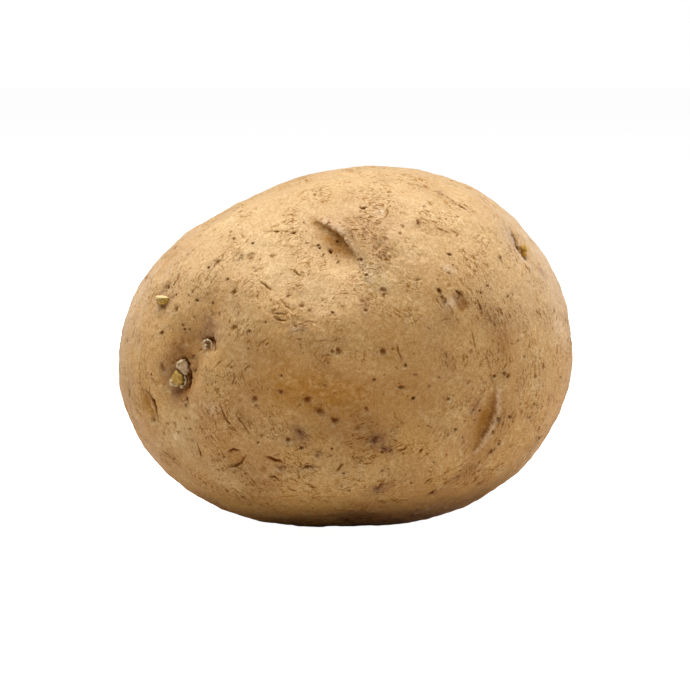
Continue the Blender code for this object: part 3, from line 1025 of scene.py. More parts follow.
def pores() -> list[Mark]:
    """The pits and spots in front, one by one."""
    plain = spots(
        # On the left shoulder and the forehead.
        (-23.4, 22.3, 0.8, 0.22, 0.9), (-19.4, 21.3, 0.75, 0.3, 1.0), (-21.6, 18.6, 0.5, 0.2, 0.6),
        (-26.9, 17.5, 1.1, 0.3, 0.9), (-28.8, 16.3, 0.7, 0.25, 0.95), (-24.6, 13.7, 0.7, 0.35, 0.95),
        (-23.2, 11.2, 1.3, 0.22, 0.7), (-31.1, 9.3, 0.8, 0.25, 0.9), (-27.8, 8.9, 0.8, 0.15, 0.6),
        (-32.0, 11.2, 0.7, 0.15, 0.5), (-33.7, 3.3, 0.7, 0.25, 0.8), (-38.7, 2.6, 0.9, 0.2, 0.8),
        (-35.4, 10.6, 0.7, 0.2, 0.7), (-35.3, 7.4, 1.3, 0.2, 0.5), (-40.6, -6.2, 0.8, 0.2, 0.6),
        (-31.4, -5.3, 0.7, 0.22, 0.7), (-33.4, -12.5, 0.7, 0.2, 0.5), (-31.6, 5.8, 0.5, 0.1, 0.4),
        (-20.2, 3.0, 0.7, 0.25, 0.7), (-2.6, 6.8, 0.8, 0.3, 0.85), (-13.3, -6.4, 0.45, 0.3, 0.9),
        (-13.5, -10.0, 0.8, 0.14, 0.5), (-19.0, -11.2, 1.5, 0.14, 0.6), (-18.6, -12.6, 0.8, 0.1, 0.4),
        (-33.4, -15.4, 0.6, 0.15, 0.5), (-23.6, -8.0, 0.6, 0.1, 0.3),
        # In the hollow and on the ledge.
        (-7.9, -11.4, 1.5, 0.2, 0.8), (-5.3, -13.8, 1.8, 0.22, 0.85), (-2.2, -15.8, 1.5, 0.2, 0.8),
        (-12.1, -19.8, 1.0, 0.2, 0.7), (-9.2, -21.6, 0.5, 0.2, 0.8),
        (-5.6, -22.4, 0.8, 0.12, 0.4), (-3.0, -23.2, 0.7, 0.12, 0.45), (-2.8, -21.8, 0.4, 0.2, 0.7),
        (-18.2, -20.4, 0.6, 0.15, 0.6), (-25.4, -23.4, 0.4, 0.2, 0.7), (-12.6, -25.6, 0.8, 0.14, 0.4),
        (1.6, -23.4, 0.4, 0.15, 0.7), (3.4, -24.2, 0.35, 0.15, 0.6), (-0.4, -27.0, 0.4, 0.15, 0.6),
        (7.7, -26.5, 0.5, 0.2, 0.8), (9.2, -26.0, 0.4, 0.15, 0.6), (0.9, -30.6, 0.4, 0.15, 0.6),
        (18.6, -24.6, 0.4, 0.2, 0.8), (12.2, -22.8, 0.5, 0.15, 0.5), (14.6, -18.4, 0.3, 0.1, 0.6),
        (20.4, -27.6, 0.4, 0.12, 0.5), (24.2, -26.4, 0.5, 0.14, 0.5), (12.6, -28.6, 0.4, 0.12, 0.4),
        # In the middle and on the right.
        (-1.4, -1.2, 1.3, 0.3, 0.6), (7.9, -1.2, 1.5, 0.3, 0.7), (12.7, -4.3, 0.8, 0.35, 0.6),
        (6.0, -7.4, 1.0, 0.2, 0.7), (11.6, -8.9, 1.1, 0.22, 0.6), (14.3, -11.2, 0.7, 0.4, 0.95),
        (19.8, -6.8, 0.4, 0.3, 0.95), (4.3, 7.2, 0.8, 0.16, 0.45), (3.6, 9.2, 0.9, 0.12, 0.35),
        (21.9, 19.0, 0.8, 0.3, 0.9),
        (32.6, 18.2, 0.6, 0.25, 0.7), (12.2, 25.0, 0.9, 0.14, 0.4), (11.6, 23.4, 0.8, 0.2, 0.6),
        (21.7, -11.4, 0.9, 0.2, 0.55), (34.5, -15.2, 0.8, 0.25, 0.7), (30.7, -22.4, 1.2, 0.22, 0.7),
        (32.3, -20.7, 0.9, 0.22, 0.7), (34.2, -6.6, 1.0, 0.22, 0.65), (37.6, -2.4, 0.7, 0.2, 0.6),
        (31.5, -6.6, 0.6, 0.25, 0.8), (33.4, -6.0, 0.9, 0.2, 0.6), (40.2, -6.6, 0.8, 0.2, 0.5),
        (36.3, 0.9, 0.5, 0.3, 0.9), (34.2, 10.2, 0.6, 0.2, 0.6), (30.1, 12.4, 0.8, 0.18, 0.5),
        (28.6, 11.0, 0.6, 0.2, 0.6), (27.3, 15.0, 0.4, 0.2, 0.5), (22.6, 16.8, 0.5, 0.2, 0.5),
        # In the smooth basin under the top brow.
        (-5.6, 20.9, 0.6, 0.3, 0.9), (-5.3, 20.3, 0.5, 0.25, 0.85), (-4.5, 18.9, 0.7, 0.2, 0.6),
        (-2.9, 19.6, 0.9, 0.4, 0.9), (-1.8, 18.7, 0.35, 0.2, 0.8), (-1.5, 17.5, 0.6, 0.14, 0.5),
        (-1.7, 21.7, 0.7, 0.22, 0.8), (-6.8, 22.5, 0.3, 0.1, 0.5), (-7.0, 20.4, 0.3, 0.08, 0.4),
        (3.3, 17.9, 0.7, 0.2, 0.75), (4.5, 14.5, 0.8, 0.15, 0.5), (3.8, 16.8, 0.6, 0.15, 0.5),
        # Beside the right brow.
        (28.4, -11.4, 0.6, 0.25, 0.8), (26.9, -13.6, 0.8, 0.28, 0.85), (28.4, -13.8, 0.6, 0.28, 0.9),
        (27.2, -15.8, 0.55, 0.25, 0.8), (23.2, -17.8, 0.7, 0.3, 0.9), (31.9, -15.2, 0.7, 0.15, 0.6),
        (30.9, -18.2, 0.9, 0.15, 0.6), (24.6, -19.4, 0.6, 0.12, 0.4), (21.8, -18.6, 0.4, 0.1, 0.4),
    )
    return [
        *plain,
        *pits(
            (-38.3, -4.5, 1.0, 0.12, 0.55, 0.04, 1.5, -60, 0.5),
            (-45.2, -9.9, 0.8, 0.2, 0.6, 0.04, 2.6, -70, 0.4),
            (23.9, 11.0, 0.5, 0.4, 1.0, 0.0, 3.8, -28), (3.9, 28.8, 0.65, 0.6, 1.0, 0.03, 2.6, -10),
            (7.9, 11.6, 0.6, 0.2, 0.55, 0.12, 2.2, -8, 0.5),
            (-9.4, -18.2, 0.7, 0.14, 0.6, 0.05, 2.4, -48, 0.8),
            (6.2, -19.7, 0.8, 0.16, 0.65, 0.1, 1.7, 60, 0.8),
            (8.3, -21.8, 0.6, 0.16, 0.65, 0.08, 2.6, -10, 0.5),
            (-5.7, -23.0, 0.8, 0.14, 0.5, 0.08, 1.5, 60, 0.6),
            (7.0, -29.9, 0.9, 0.2, 0.5, 0.06, 2.4, 38, 0.8),
            (-8.1, -25.6, 0.8, 0.3, 0.9, 0.08, 2.4, 6, 0.6),
            (-13.4, -25.8, 0.9, 0.14, 0.5, 0.06, 1.3, 70, 0.6),
            (32.3, -15.6, 0.6, 0.1, 0.5, 0.04, 2.0, 60, 0.6),
        ),
        *pits(
            (19.9, 11.3, 0.8, 0.35, 0.9, 0.1, 1.4, -50), (20.3, 10.0, 0.8, 0.3, 0.5, 0.14, 1.3, -50),
            (21.0, 9.0, 0.7, 0.3, 0.5, 0.12, 1.3, -50), cork=0.5,
        ),
        # Ring scabs on the forehead.
        *pits((-22.2, 19.2, 1.5, 0.12, 0.12, 0.16), cork=0.35),
        *pits((-19.9, 18.7, 1.2, 0.14, 0.15, 0.16), cork=0.5),
        *pits(
            (-19.8, 18.3, 0.5, 0.14, 0.8, 0.04, 1.6), (-17.9, 18.0, 0.5, 0.22, 0.8, 0.05),
            (-15.2, 18.7, 0.8, 0.14, 0.5, 0.08, 1.7, 12),
        ),
    ]


def cuts() -> list[Mark]:
    """The scratches and cracks in front."""
    return [
        # Above the forehead and on the top.
        *scratches(
            (0.3, 0.12, 0.5, (-17.6, 23.9), (-14.4, 23.9), (-10.4, 23.5)),
            (0.5, 0.22, 0.8, (-14.9, 23.9), (-13.9, 23.8)),
            (0.5, 0.25, 0.9, (-11.2, 23.4), (-10.3, 23.7)),
            (0.4, 0.14, 0.6, (-12.2, 27.2), (-10.2, 27.1)),
            (0.4, 0.18, 0.7, (17.2, 30.2), (18.4, 29.4)), (0.3, 0.12, 0.5, (22.4, 24.0), (23.4, 23.2)),
            (0.3, 0.12, 0.4, (0.2, 32.0), (2.2, 31.6)), (0.35, 0.1, 0.3, (14.8, 26.6), (15.6, 25.3)),
            (0.4, 0.2, 0.7, (32.2, 18.9), (33.0, 17.2)),
        ),
        *scratches(
            (0.35, 0.2, 0.75, (19.4, 31.6), (21.6, 30.8), (24.0, 29.2), (26.7, 27.2)), broken=0.9,
        ),
        *scratches((0.3, 0.12, 0.6, (19.3, 24.6), (21.8, 23.5)), broken=0.5),
        # Gouges below the forehead, each with a bright lower lip.
        *scratches(
            (0.55, 0.28, 0.75, (-17.9, 13.3), (-16.8, 12.5), (-15.6, 11.5)),
            (0.5, 0.3, 0.55, (-15.0, 5.8), (-13.4, 5.1), (-12.0, 5.2)), lip=0.02, far_lip=0.12,
        ),
        *scratches(
            (0.4, 0.18, 0.7, (-10.8, 15.4), (-9.4, 14.6)),
            (0.4, 0.2, 0.5, (-13.4, 9.5), (-12.4, 8.0), (-11.2, 7.4)), far_lip=0.06,
        ),
        *scratches((0.5, 0.3, 0.55, (-15.6, 6.6), (-13.6, 6.5), (-12.2, 6.7)), lip=0.02, far_lip=0.1),
        *scratches(
            (0.5, 0.16, 0.35, (-18.6, -0.6), (-17.4, 0.6), (-16.0, 1.4)), lip=0.03, far_lip=0.12,
        ),
        *scratches(
            (0.45, 0.18, 0.7, (-20.9, -5.5), (-20.2, -4.2)),
            (0.3, 0.1, 0.5, (-22.7, 4.6), (-22.4, 3.0), (-22.6, 1.6)),
        ),
        *scratches(
            (0.3, 0.14, 0.5, (-27.2, -4.6), (-25.8, -2.9)),
            (0.3, 0.12, 0.4, (-25.0, -4.8), (-23.4, -3.0)), far_lip=0.05,
        ),
        *scratches((0.35, 0.12, 0.4, (-23.2, -6.4), (-23.5, -8.4)), far_lip=0.1),
        # The crack that branches over the left cheek.
        *scratches(
            (0.35, 0.16, 0.65, (-26.4, -11.6), (-25.6, -14.6), (-24.2, -16.6), (-22.3, -18.8)),
            broken=0.5,
        ),
        *scratches(
            (0.3, 0.14, 0.6, (-23.2, -13.6), (-22.0, -16.0), (-20.6, -17.6), (-19.6, -19.4)),
            broken=0.6,
        ),
        *scratches(
            (0.35, 0.12, 0.6, (-24.8, -17.0), (-22.9, -18.2)),
            (0.35, 0.14, 0.6, (-40.8, -6.8), (-39.8, -8.0)),
        ),
        *scratches((0.4, 0.2, 0.85, (-31.0, -20.4), (-30.6, -22.2), (-30.0, -23.6)), broken=0.3),
        *scratches((0.4, 0.18, 0.7, (-38.6, -21.8), (-36.4, -23.6), (-34.6, -25.6)), broken=0.4),
        # On the ledge at the bottom.
        *scratches(
            (0.6, 0.3, 1.0, (-16.6, -23.4), (-14.8, -24.1), (-13.0, -24.3)),
            (0.4, 0.28, 0.9, (-15.9, -27.5), (-14.7, -27.6), (-13.7, -28.5)),
            (0.4, 0.25, 0.95, (-11.4, -30.3), (-10.2, -30.6)),
            (0.4, 0.25, 0.9, (-16.4, -33.3), (-15.0, -33.9)),
            (0.4, 0.2, 0.8, (-22.0, -31.6), (-20.8, -32.2)),
            (0.35, 0.15, 0.7, (-19.8, -28.2), (-18.4, -29.4)),
            (0.35, 0.18, 0.8, (-7.4, -29.6), (-6.0, -29.9)),
            (0.35, 0.16, 0.7, (-7.2, -32.1), (-5.8, -32.2)),
            (0.35, 0.16, 0.6, (-4.6, -32.8), (-3.2, -32.7)),
            (0.55, 0.25, 0.9, (-1.8, -26.4), (-0.4, -24.9)),
            (0.3, 0.1, 0.4, (-13.6, -31.8), (-10.0, -31.6)),
            (0.4, 0.2, 0.85, (11.2, -22.0), (12.4, -21.9), (13.0, -21.2)),
            (0.5, 0.28, 0.9, (15.6, -22.4), (16.3, -21.8)),
            (0.35, 0.16, 0.7, (16.8, -28.6), (18.2, -28.0)),
            (0.5, 0.2, 0.9, (17.6, -31.4), (19.0, -30.2)),
            (0.4, 0.16, 0.7, (24.4, -29.8), (26.0, -28.8)),
            (0.4, 0.16, 0.7, (27.6, -29.4), (29.2, -28.6)),
            (0.3, 0.1, 0.4, (20.4, -26.9), (24.0, -25.4), (28.0, -22.6)),
        ),
        *scratches(
            (0.4, 0.18, 0.7, (6.8, -22.4), (9.0, -22.6), (10.4, -21.8)),
            (0.4, 0.18, 0.7, (30.6, -26.4), (33.4, -24.6)), broken=0.4,
        ),
        # The edges of the flake scar at the top.
        *scratches(
            (0.3, 0.1, 0.45, (5.6, 28.9), (6.9, 29.3), (8.2, 29.0)),
            (0.3, 0.12, 0.45, (8.7, 28.6), (9.0, 27.6), (8.5, 26.6)),
        ),
        # Bright curled lips in the middle, on the right.
        *scratches(
            (0.4, 0.2, 0.4, (20.9, -1.4), (21.4, -2.8)), (0.35, 0.14, 0.2, (-5.9, 0.6), (-4.0, 0.9)),
            (0.35, 0.16, 0.3, (-10.4, 1.4), (-9.0, 0.8)), far_lip=0.2,
        ),
        *scratches((0.35, 0.14, 0.3, (22.6, -3.8), (23.2, -5.0), (22.4, -5.2)), far_lip=0.14),
        *scratches(
            (0.4, 0.2, 0.5, (10.9, 0.4), (11.2, -1.6), (11.9, -3.2)),
            (0.35, 0.16, 0.2, (-10.6, 3.6), (-9.4, 4.3), (-8.2, 4.0)), far_lip=0.12,
        ),
        *scratches((0.3, 0.14, 0.2, (-8.8, 4.6), (-7.2, 5.2), (-6.4, 4.4)), far_lip=0.1),
        *scratches((0.4, 0.14, 0.3, (20.0, 5.0), (21.6, 5.4)), far_lip=0.16),
        *scratches((0.3, 0.12, 0.5, (26.4, 3.4), (27.0, 1.0), (27.4, -1.4))),
        *scratches((0.35, 0.14, 0.6, (27.8, 9.6), (28.8, 6.6)), broken=0.4),
        *scratches(
            (0.35, 0.12, 0.25, (21.6, 8.6), (24.0, 4.4)), (0.35, 0.12, 0.25, (19.0, 9.6), (20.8, 7.2)),
            broken=0.6,
        ),
    ]


def far_brows() -> list[Brow]:
    """The brows on the side that is turned away."""
    return [
        Brow(Track(((17.4, 4.6), (20.4, 6.2), (25.0, 5.8), (28.0, 3.2)), 180.0),
             step=1.0, soft=0.9, groove=0.2, dirt=0.5, torn=0.5, torn_width=0.8),
        Brow(Track(((-17.0, 16.4), (-13.6, 18.4), (-9.4, 18.2), (-6.6, 16.0)), 180.0),
             step=0.9, soft=0.9, groove=0.2, dirt=0.5, torn=0.5, torn_width=0.8),
        Brow(Track(((-1.4, -15.2), (2.4, -13.6), (6.4, -14.6)), 180.0),
             step=0.7, soft=0.8, groove=0.2, dirt=0.5, torn=0.3, torn_width=0.6),
    ]


def far_eyes() -> list[Mark]:
    """The hollows of the eyes and the stalk's scar on the sides that are turned away."""
    return [
        *areas(Tint.PLUM,
            (22.6, 2.8, 3.4, 2.4, 0.4, 0, 0.03), (-11.8, 15.2, 3.6, 2.2, 0.4, 0, 0.03), azimuth=180.0,
        ),
        *areas(Tint.OCHRE, (3.0, -15.8, 3.0, 1.8, 0.6), azimuth=180.0),
        *areas(Tint.PLUM, (-9.2, 0.8, 3.0, 2.2, 0.4), azimuth=270.0),
        *pits(
            (22.6, 2.6, 2.4, 0.4, 0.5, 0.0), (-11.8, 15.0, 2.7, 0.4, 0.5, 0.0), azimuth=180.0,
        ),
        *pits((-9.2, 0.8, 2.6, 0.4, 0.5, 0.0), azimuth=270.0),
        # The scar of the stalk that it grew on.
        *areas(Tint.CORK, (4.0, -3.0, 3.4, 3.2, 0.9, 0, 0.07), azimuth=90.0, edge=4),
        *pits((4.0, -3.0, 3.4, 0.4, 0.3, 0.12), azimuth=90.0),
    ]


@dataclass(frozen=True)
class Scatter:
    """Pores, nicks and scabs strewn over the whole tuber, the same on each run."""

    seed: int = 5
    pores: int = 300
    nicks: int = 180
    patches: int = 60

    def marks(self, base: Surface) -> list[Mark]:
        """The marks that are strewn.

        Args:
            base: the surface that they lie on.

        Returns:
            Pits and patches at random spots of all four sides, the top and the foot.
        """
        dice = np.random.default_rng(self.seed)
        made: list[Mark] = []
        for number in range(self.pores + self.nicks + self.patches):
            spot = self.spot(base, dice)
            turn = float(dice.normal(0, 35))
            front = spot.azimuth == 0
            if number < self.pores:
                width = float(np.clip(dice.lognormal(-0.65, 0.35), 0.3, 1.3))
                mark: Mark = Pit(
                    spot, width, 0.22 * width, dice.uniform(0.3, 0.85), 0.05 * width,
                    dice.uniform(1, 1.7), turn, dice.uniform(0, 0.35), cell=0.26 if front else 0.34,
                )
            elif number < self.pores + self.nicks:
                mark = Pit(
                    spot, dice.uniform(0.25, 0.4), dice.uniform(0.08, 0.2), dice.uniform(0.4, 0.9),
                    0.03, dice.uniform(2.2, 4.5), turn, cell=0.24 if front else 0.34,
                )
            else:
                tint = dice.choice(
                    [Tint.CORK, Tint.PLUM, Tint.OCHRE, Tint.TORN], p=[0.45, 0.2, 0.2, 0.15]
                )
                size = dice.uniform(1.5, 5.0)
                width = size * dice.uniform(0.4, 0.9)
                mark = Patch(spot, size, width, dice.uniform(0.2, 0.5), turn, 0.02, tint=tint)
            made.append(mark)
        return made

    def spot(self, base: Surface, dice: np.random.Generator) -> Spot:
        """A random spot that can be seen, away from the smooth basins in front.

        Args:
            base: the surface that it lies on.
            dice: the random numbers.

        Returns:
            The spot.
        """
        while True:
            azimuth = float(dice.choice([0.0, 90.0, 180.0, 270.0]))
            wide = 45.0 if azimuth in (0.0, 180.0) else 33.0
            across, up = dice.uniform(-wide, wide), dice.uniform(-36, 36)
            basin = azimuth == 0.0 and (
                math.hypot(across + 2.5, up - 20) < 5 or math.hypot(across - 29.6, up + 16.6) < 4
            )
            spot = Spot(float(across), float(up), azimuth)
            hit, normal, _, _ = base.tree.ray_cast(*SIGHT.ray(spot))
            if hit is not None and not basin and normal.dot(SIGHT.axes(azimuth)[2]) > 0.35:
                return spot


# ---------------------------------------------------------------- colours and nodes


def linear(colour: str) -> tuple[float, float, float, float]:
    """An sRGB colour as linear light.

    Args:
        colour: six hexadecimal digits after a hash.

    Returns:
        Red, green, blue and 1.
    """
    parts = [int(colour[k : k + 2], 16) / 255 for k in (1, 3, 5)]
    red, green, blue = (
        part / 12.92 if part <= 0.04045 else ((part + 0.055) / 1.055) ** 2.4 for part in parts
    )
    return red, green, blue, 1.0


def feed(tree: Any, socket: Any, value: Any) -> None:
    """Gives an input its value, or links the output that feeds it."""
    if isinstance(value, bpy.types.NodeSocket):
        tree.links.new(value, socket)
    else:
        socket.default_value = value


def add(tree: Any, kind: str, sockets: Any = (), out: Any = 0, **settings: Any) -> Any:
    """Adds a node with its settings and links.

    Args:
        tree: the node tree.
        kind: the node's type, after ShaderNode.
        sockets: its inputs in order, or by name or number, each a value or an output.
        out: which of its outputs is wanted.
        settings: the node's own properties.

    Returns:
        The output.
    """
    node = tree.nodes.new("ShaderNode" + kind)
    for name, value in settings.items():
        setattr(node, name, value)
    for name, value in sockets.items() if isinstance(sockets, dict) else enumerate(sockets):
        feed(tree, node.inputs[name], value)
    return node.outputs[out]


TIMES = {"operation": "MULTIPLY"}
PLUS = {"operation": "ADD"}
TIMES_PLUS = {"operation": "MULTIPLY_ADD"}
EASED = {"interpolation_type": "SMOOTHSTEP"}  # sockets: value, from low, from high, start, end


class Paint:
    """One material's nodes, with coordinates in millimetres."""

    def __init__(self, name: str) -> None:
        """Starts an empty material with a shader.

        Args:
            name: the material's name.
        """
        self.material = bpy.data.materials.new(name)
        self.material.use_nodes = True
        self.tree = self.material.node_tree
        self.shader = self.tree.nodes["Principled BSDF"]
        metres = self.add("TexCoord", out="Object")
        self.place = self.add("VectorMath", {0: metres, "Scale": 1 / MM}, operation="SCALE")

    def add(self, kind: str, sockets: Any = (), out: Any = 0, **settings: Any) -> Any:
        """Adds a node to the material's tree."""
        return add(self.tree, kind, sockets, out, **settings)

    def layers(self, colour: Any, *over: tuple[Any, str]) -> Any:
        """Tones laid over a colour.

        Args:
            colour: the colour under them.
            over: the share of each tone and the tone.

        Returns:
            The colour.
        """
        for share, tone in over:
            sockets = {0: share, 6: colour, 7: linear(tone)}
            colour = self.add("Mix", sockets, 2, data_type="RGBA", clamp_factor=True)
        return colour

    def finish(self, colour: Any, roughness: Any, height: Any, relief: float, **more: Any) -> Any:
        """Joins the nodes to the shader.

        Args:
            colour: the base colour.
            roughness: the roughness.
            height: the relief, whose unit is given next.
            relief: the height of one unit of it, in millimetres.
            more: values or outputs for the shader's own sockets, by name with _ for a space.

        Returns:
            The material.
        """
        normal = self.add("Bump", {"Height": height, "Distance": relief * MM})
        given = {"Base_Color": colour, "Roughness": roughness, "Normal": normal, **more}
        for name, value in given.items():
            feed(self.tree, self.shader.inputs[name.replace("_", " ")], value)
        return self.material


@dataclass(frozen=True)
class PeridermFinish:
    """Potato periderm, the corky skin: washed and dry, so it is matt with a faint waxy sheen."""

    buff: str = "#CF9D57"  # thin skin over pale flesh, the main tone
    tan: str = "#BF8D4D"  # where the cork is thicker
    straw: str = "#D9B37A"  # rubbed raised places
    dry: str = "#D4AF7B"  # painted light: a paler, duller tone laid over the top by height, where the overhead light falls
    # lighter skin, and painted highlight on the top, the shoulders and the lower lips of pits
    pale: str = "#E5C48E"
    ochre: str = "#A87129"  # smooth hollows, and painted shade in the hollows and under the brows
    scab: str = "#A0713D"
    torn: str = "#EACBA8"
    # bruises and eyes, and painted shade round the buds and on the underside
    plum: str = "#794A2E"
    # the darkest tone: grime in pits and cracks, and painted shade in them
    soil_and_shade: str = "#5C2C06"

    def material(self) -> Any:
        """The skin's nodes: mottling, netting, specks and stains, painted light and shade, with fine
        relief.
        """
        p = Paint("potato_periderm")
        add = p.add
        dirt, cork, torn, ochre, plum, pale = (
            add("Attribute", out="Fac", attribute_name=tint.value) for tint in Tint
        )
        # Tubers mottle in patches of a centimetre or two, broken up at a few millimetres. Marks
        # crowd at half a centimetre, and the cork's own grain is a cell or two across.
        broad, middle, fine, grain, crowd, lumps = (
            add("TexNoise", {"Vector": p.place, "Scale": 1 / size, "Detail": detail, "Roughness": rough})
            for size, detail, rough in (
                (15.0, 3.0, 0.5), (3.6, 5.0, 0.62), (0.9, 4.0, 0.65), (0.42, 2.0, 0.6),
                (6.0, 2.0, 0.5), (0.8, 3.0, 0.5),
            )
        )
        level = add("SeparateXYZ", (p.place,), 2)
        # Painted light: by height, a paler, duller tone is laid over the top, where the overhead light
        # falls.
        uneven = add("Math", (broad, 12.0, level), **TIMES_PLUS)
        painted_top_light = add("MapRange", (uneven, 26.0, 66.0, 0.0, 0.75), **EASED)
        netted = add("MapRange", (fine, 0.42, 0.58, 0.25, 1.2), **EASED)
        # The lighter, yellow-brown and purplish tints carry painted light and shade as well as the
        # skin's own tones.
        colour = p.layers(
            linear(self.buff),
            (add("MapRange", (broad, 0.38, 0.62), **EASED), self.tan),
            (painted_top_light, self.dry),
            (add("MapRange", (middle, 0.5, 0.7, 0.0, 0.55), **EASED), self.straw),
            (add("Math", (pale, 0.9), **TIMES), self.pale),
            (add("Math", (ochre, 0.92), **TIMES), self.ochre),
            (add("Math", (cork, netted), use_clamp=True, **TIMES), self.scab),
            (torn, self.torn),
            (add("Math", (plum, 0.8), **TIMES), self.plum),
        )
        # Marks thin out in some places and keep off the smooth hollows.
        crowded = add("MapRange", (crowd, 0.4, 0.66, 0.12, 1.0), **EASED)
        busy = add("Math", (crowded, cork), use_clamp=True, **PLUS)
        smooth = add("Math", (painted_top_light, 0.1, add("Math", (ochre, 0.6), **TIMES)), **TIMES_PLUS)
        calm = add("Math", (busy, smooth), operation="SUBTRACT", use_clamp=True)
        # The skin splits in rings round the broad side, so its noise runs faster outwards.
        sockets = {"Vector": p.place, "Scale": 0.9, "Detail": 2.0}
        warp = add("TexNoise", sockets, "Color")
        shift = add("VectorMath", (warp, (1.2, 1.2, 1.2), p.place), **TIMES_PLUS)
        flat = add("VectorMath", (p.place, (1.0, 0.3, 1.0), (0.0, 0.0, -36.0)), **TIMES_PLUS)
        ring = add("VectorMath", (flat,), "Value", operation="LENGTH")
        outwards = add("CombineXYZ", {1: add("Math", (ring, 2.2), **TIMES)})
        along = add("VectorMath", (shift, outwards), **PLUS)
        # Specks: pores of 0.2 to 0.4 mm, in some of the cells of a mosaic.
        distance, lot = (
            add("TexVoronoi", {"Vector": shift, "Scale": 0.85}, out) for out in ("Distance", "Color")
        )
        size, luck = (add("SeparateColor", (lot,), out) for out in (0, 1))
        size = add("Math", (size, 0.2), **TIMES)
        inside = add("Math", (distance, size), operation="SUBTRACT")
        dot = add("MapRange", (inside, -0.03, 0.04, 1.0, 0.0), **EASED)
        luck = add("Math", (luck, add("Math", (calm, 0.4), **TIMES)), **PLUS)
        speck = add("Math", (dot, add("MapRange", (luck, 0.7, 0.85), **EASED)), **TIMES)
        # Dashes: curved splits in the cork, half a millimetre to one long and 0.15 mm wide.
        dashes = add("Math", (self.dashes(p, along, 2.1, 0.06), calm), **TIMES)
        often = add("MapRange", (calm, 0.25, 0.9), **EASED)
        hairs = add("Math", (self.dashes(p, along, 1.1, 0.085), often), **TIMES)
        stain_and_shade = dirt
        for mark, share in ((dashes, 0.74), (hairs, 0.56), (speck, 0.6)):
            stain_and_shade = add("Math", (stain_and_shade, add("Math", (mark, share), **TIMES)), operation="MAXIMUM")
        # Cork takes more blue than red out of the light, so whatever is darker is warmer too.
        light = add("Math", (stain_and_shade, -0.88, 1.0), **TIMES_PLUS)
        for noise, dark, bright in ((fine, 0.86, 1.1), (grain, 0.8, 1.16)):
            mottled = add("MapRange", (noise, 0.3, 0.7, dark, bright), **EASED)
            light = add("Math", (light, mottled), **TIMES)
        red, blue = (add("Math", (light, power), operation="POWER") for power in (0.62, 1.8))
        shade = add("CombineColor", (red, light, blue))
        colour = add("Mix", {0: 1.0, 6: colour, 7: shade}, 2, data_type="RGBA",
                     blend_type="MULTIPLY", clamp_factor=True)
        # The darkest tone goes where grime and painted shade are: in pits, cracks and creases, under
        # their upper edges and at the brows' feet.
        colour = p.layers(colour, (add("Math", (dirt, 0.65), **TIMES), self.soil_and_shade))
        # Heights in tenths of a millimetre.
        split = add("TexNoise", {"Vector": along, "Scale": 1 / 1.8, "Detail": 2.0})
        wrinkles = add("Math", (split, busy), **TIMES)
        crust = add("Math", (cork, lumps), **TIMES)
        height = 0.0
        for part, rise in (
            (speck, -0.8), (dashes, -0.9), (hairs, -0.45), (fine, 0.9), (middle, 1.5),
            (grain, 0.25), (wrinkles, 1.8), (crust, 3.0),
        ):
            height = add("Math", (part, rise, height), **TIMES_PLUS)
        # Grime, dead cork and the painted shade with them don't shine, and dust lies on top but not in
        # the smooth hollows.
        clean = add("MapRange", (stain_and_shade, 0.0, 0.7, 0.42, 0.1), **EASED)
        waxy = add("MapRange", (ochre, 0.0, 1.0, 1.0, 0.4), **EASED)
        dusty = add("MapRange", (level, 30.0, 66.0, 0.03, 0.42), **EASED)
        for mark, end, left in ((ochre, 0.8, 0.1), (stain_and_shade, 0.7, 0.0)):
            bare = add("MapRange", (mark, 0.0, end, 1.0, left), **EASED)
            dusty = add("Math", (dusty, bare), **TIMES)
        return p.finish(
            colour, add("MapRange", (fine, 0.2, 0.8, 0.5, 0.64), **EASED), height, 0.1,
            Specular_IOR_Level=add("Math", (clean, waxy), **TIMES), Sheen_Weight=dusty,
            Sheen_Roughness=0.4, Sheen_Tint=(0.95, 0.92, 0.93, 1.0), IOR=1.45,
        )

    def dashes(self, p: Paint, place: Any, size: float, width: float) -> Any:
        """Short curved lines: the level lines of one noise, broken up by another.

        Args:
            p: the material's nodes.
            place: the coordinates.
            size: how far the lines lie apart, in millimetres.
            width: how wide they are, as a part of the noise's range.

        Returns:
            1 on the lines and 0 off them.
        """
        moved = p.add("VectorMath", (place, (31.0, 17.0, 53.0)), **PLUS)
        wave, gate = (
            p.add("TexNoise", {"Vector": where, "Scale": 1 / far, "Detail": 1.0})
            for where, far in ((place, size), (moved, 0.7 * size))
        )
        off = p.add("Math", (wave, 0.5), operation="SUBTRACT")
        off = p.add("Math", (off,), operation="ABSOLUTE")
        line = p.add("MapRange", (off, 0.3 * width, width, 1.0, 0.0), **EASED)
        shown = p.add("MapRange", (gate, 0.52, 0.59), **EASED)
        return p.add("Math", (line, shown), **TIMES)


@dataclass(frozen=True)
class BudFinish:
    """Living sprout flesh: waxy and a little translucent, in two tones with a faint grain."""

    light: str = "#B5A23C"
    dark: str = "#8E7A2E"
    size: float = 0.7  # of its blotches, in millimetres
    detail: float = 3.0
    rough: float = 0.5  # how strong their finer parts are
    blend: tuple[float, float] = (0.35, 0.65)  # where they turn from light to dark
    roughness: float = 0.45
    relief: float = 0.06
    ior: float = 1.42
    translucence: float = 0.15
    depth: float = 0.6  # how far light goes in

    def material(self, name: str) -> Any:
        """The nodes: two tones in blotches, which are also its relief.

        Args:
            name: the material's name.

        Returns:
            The material.
        """
        p = Paint(name)
        sockets = {"Vector": p.place, "Scale": 1 / self.size, "Detail": self.detail,
                   "Roughness": self.rough}
        blotch = p.add("TexNoise", sockets)
        share = p.add("MapRange", (blotch, *self.blend), **EASED)
        colour = p.layers(linear(self.light), (share, self.dark))
        return p.finish(
            colour, self.roughness, blotch, self.relief, IOR=self.ior,
            Subsurface_Weight=self.translucence, Subsurface_Scale=self.depth * MM,
        )


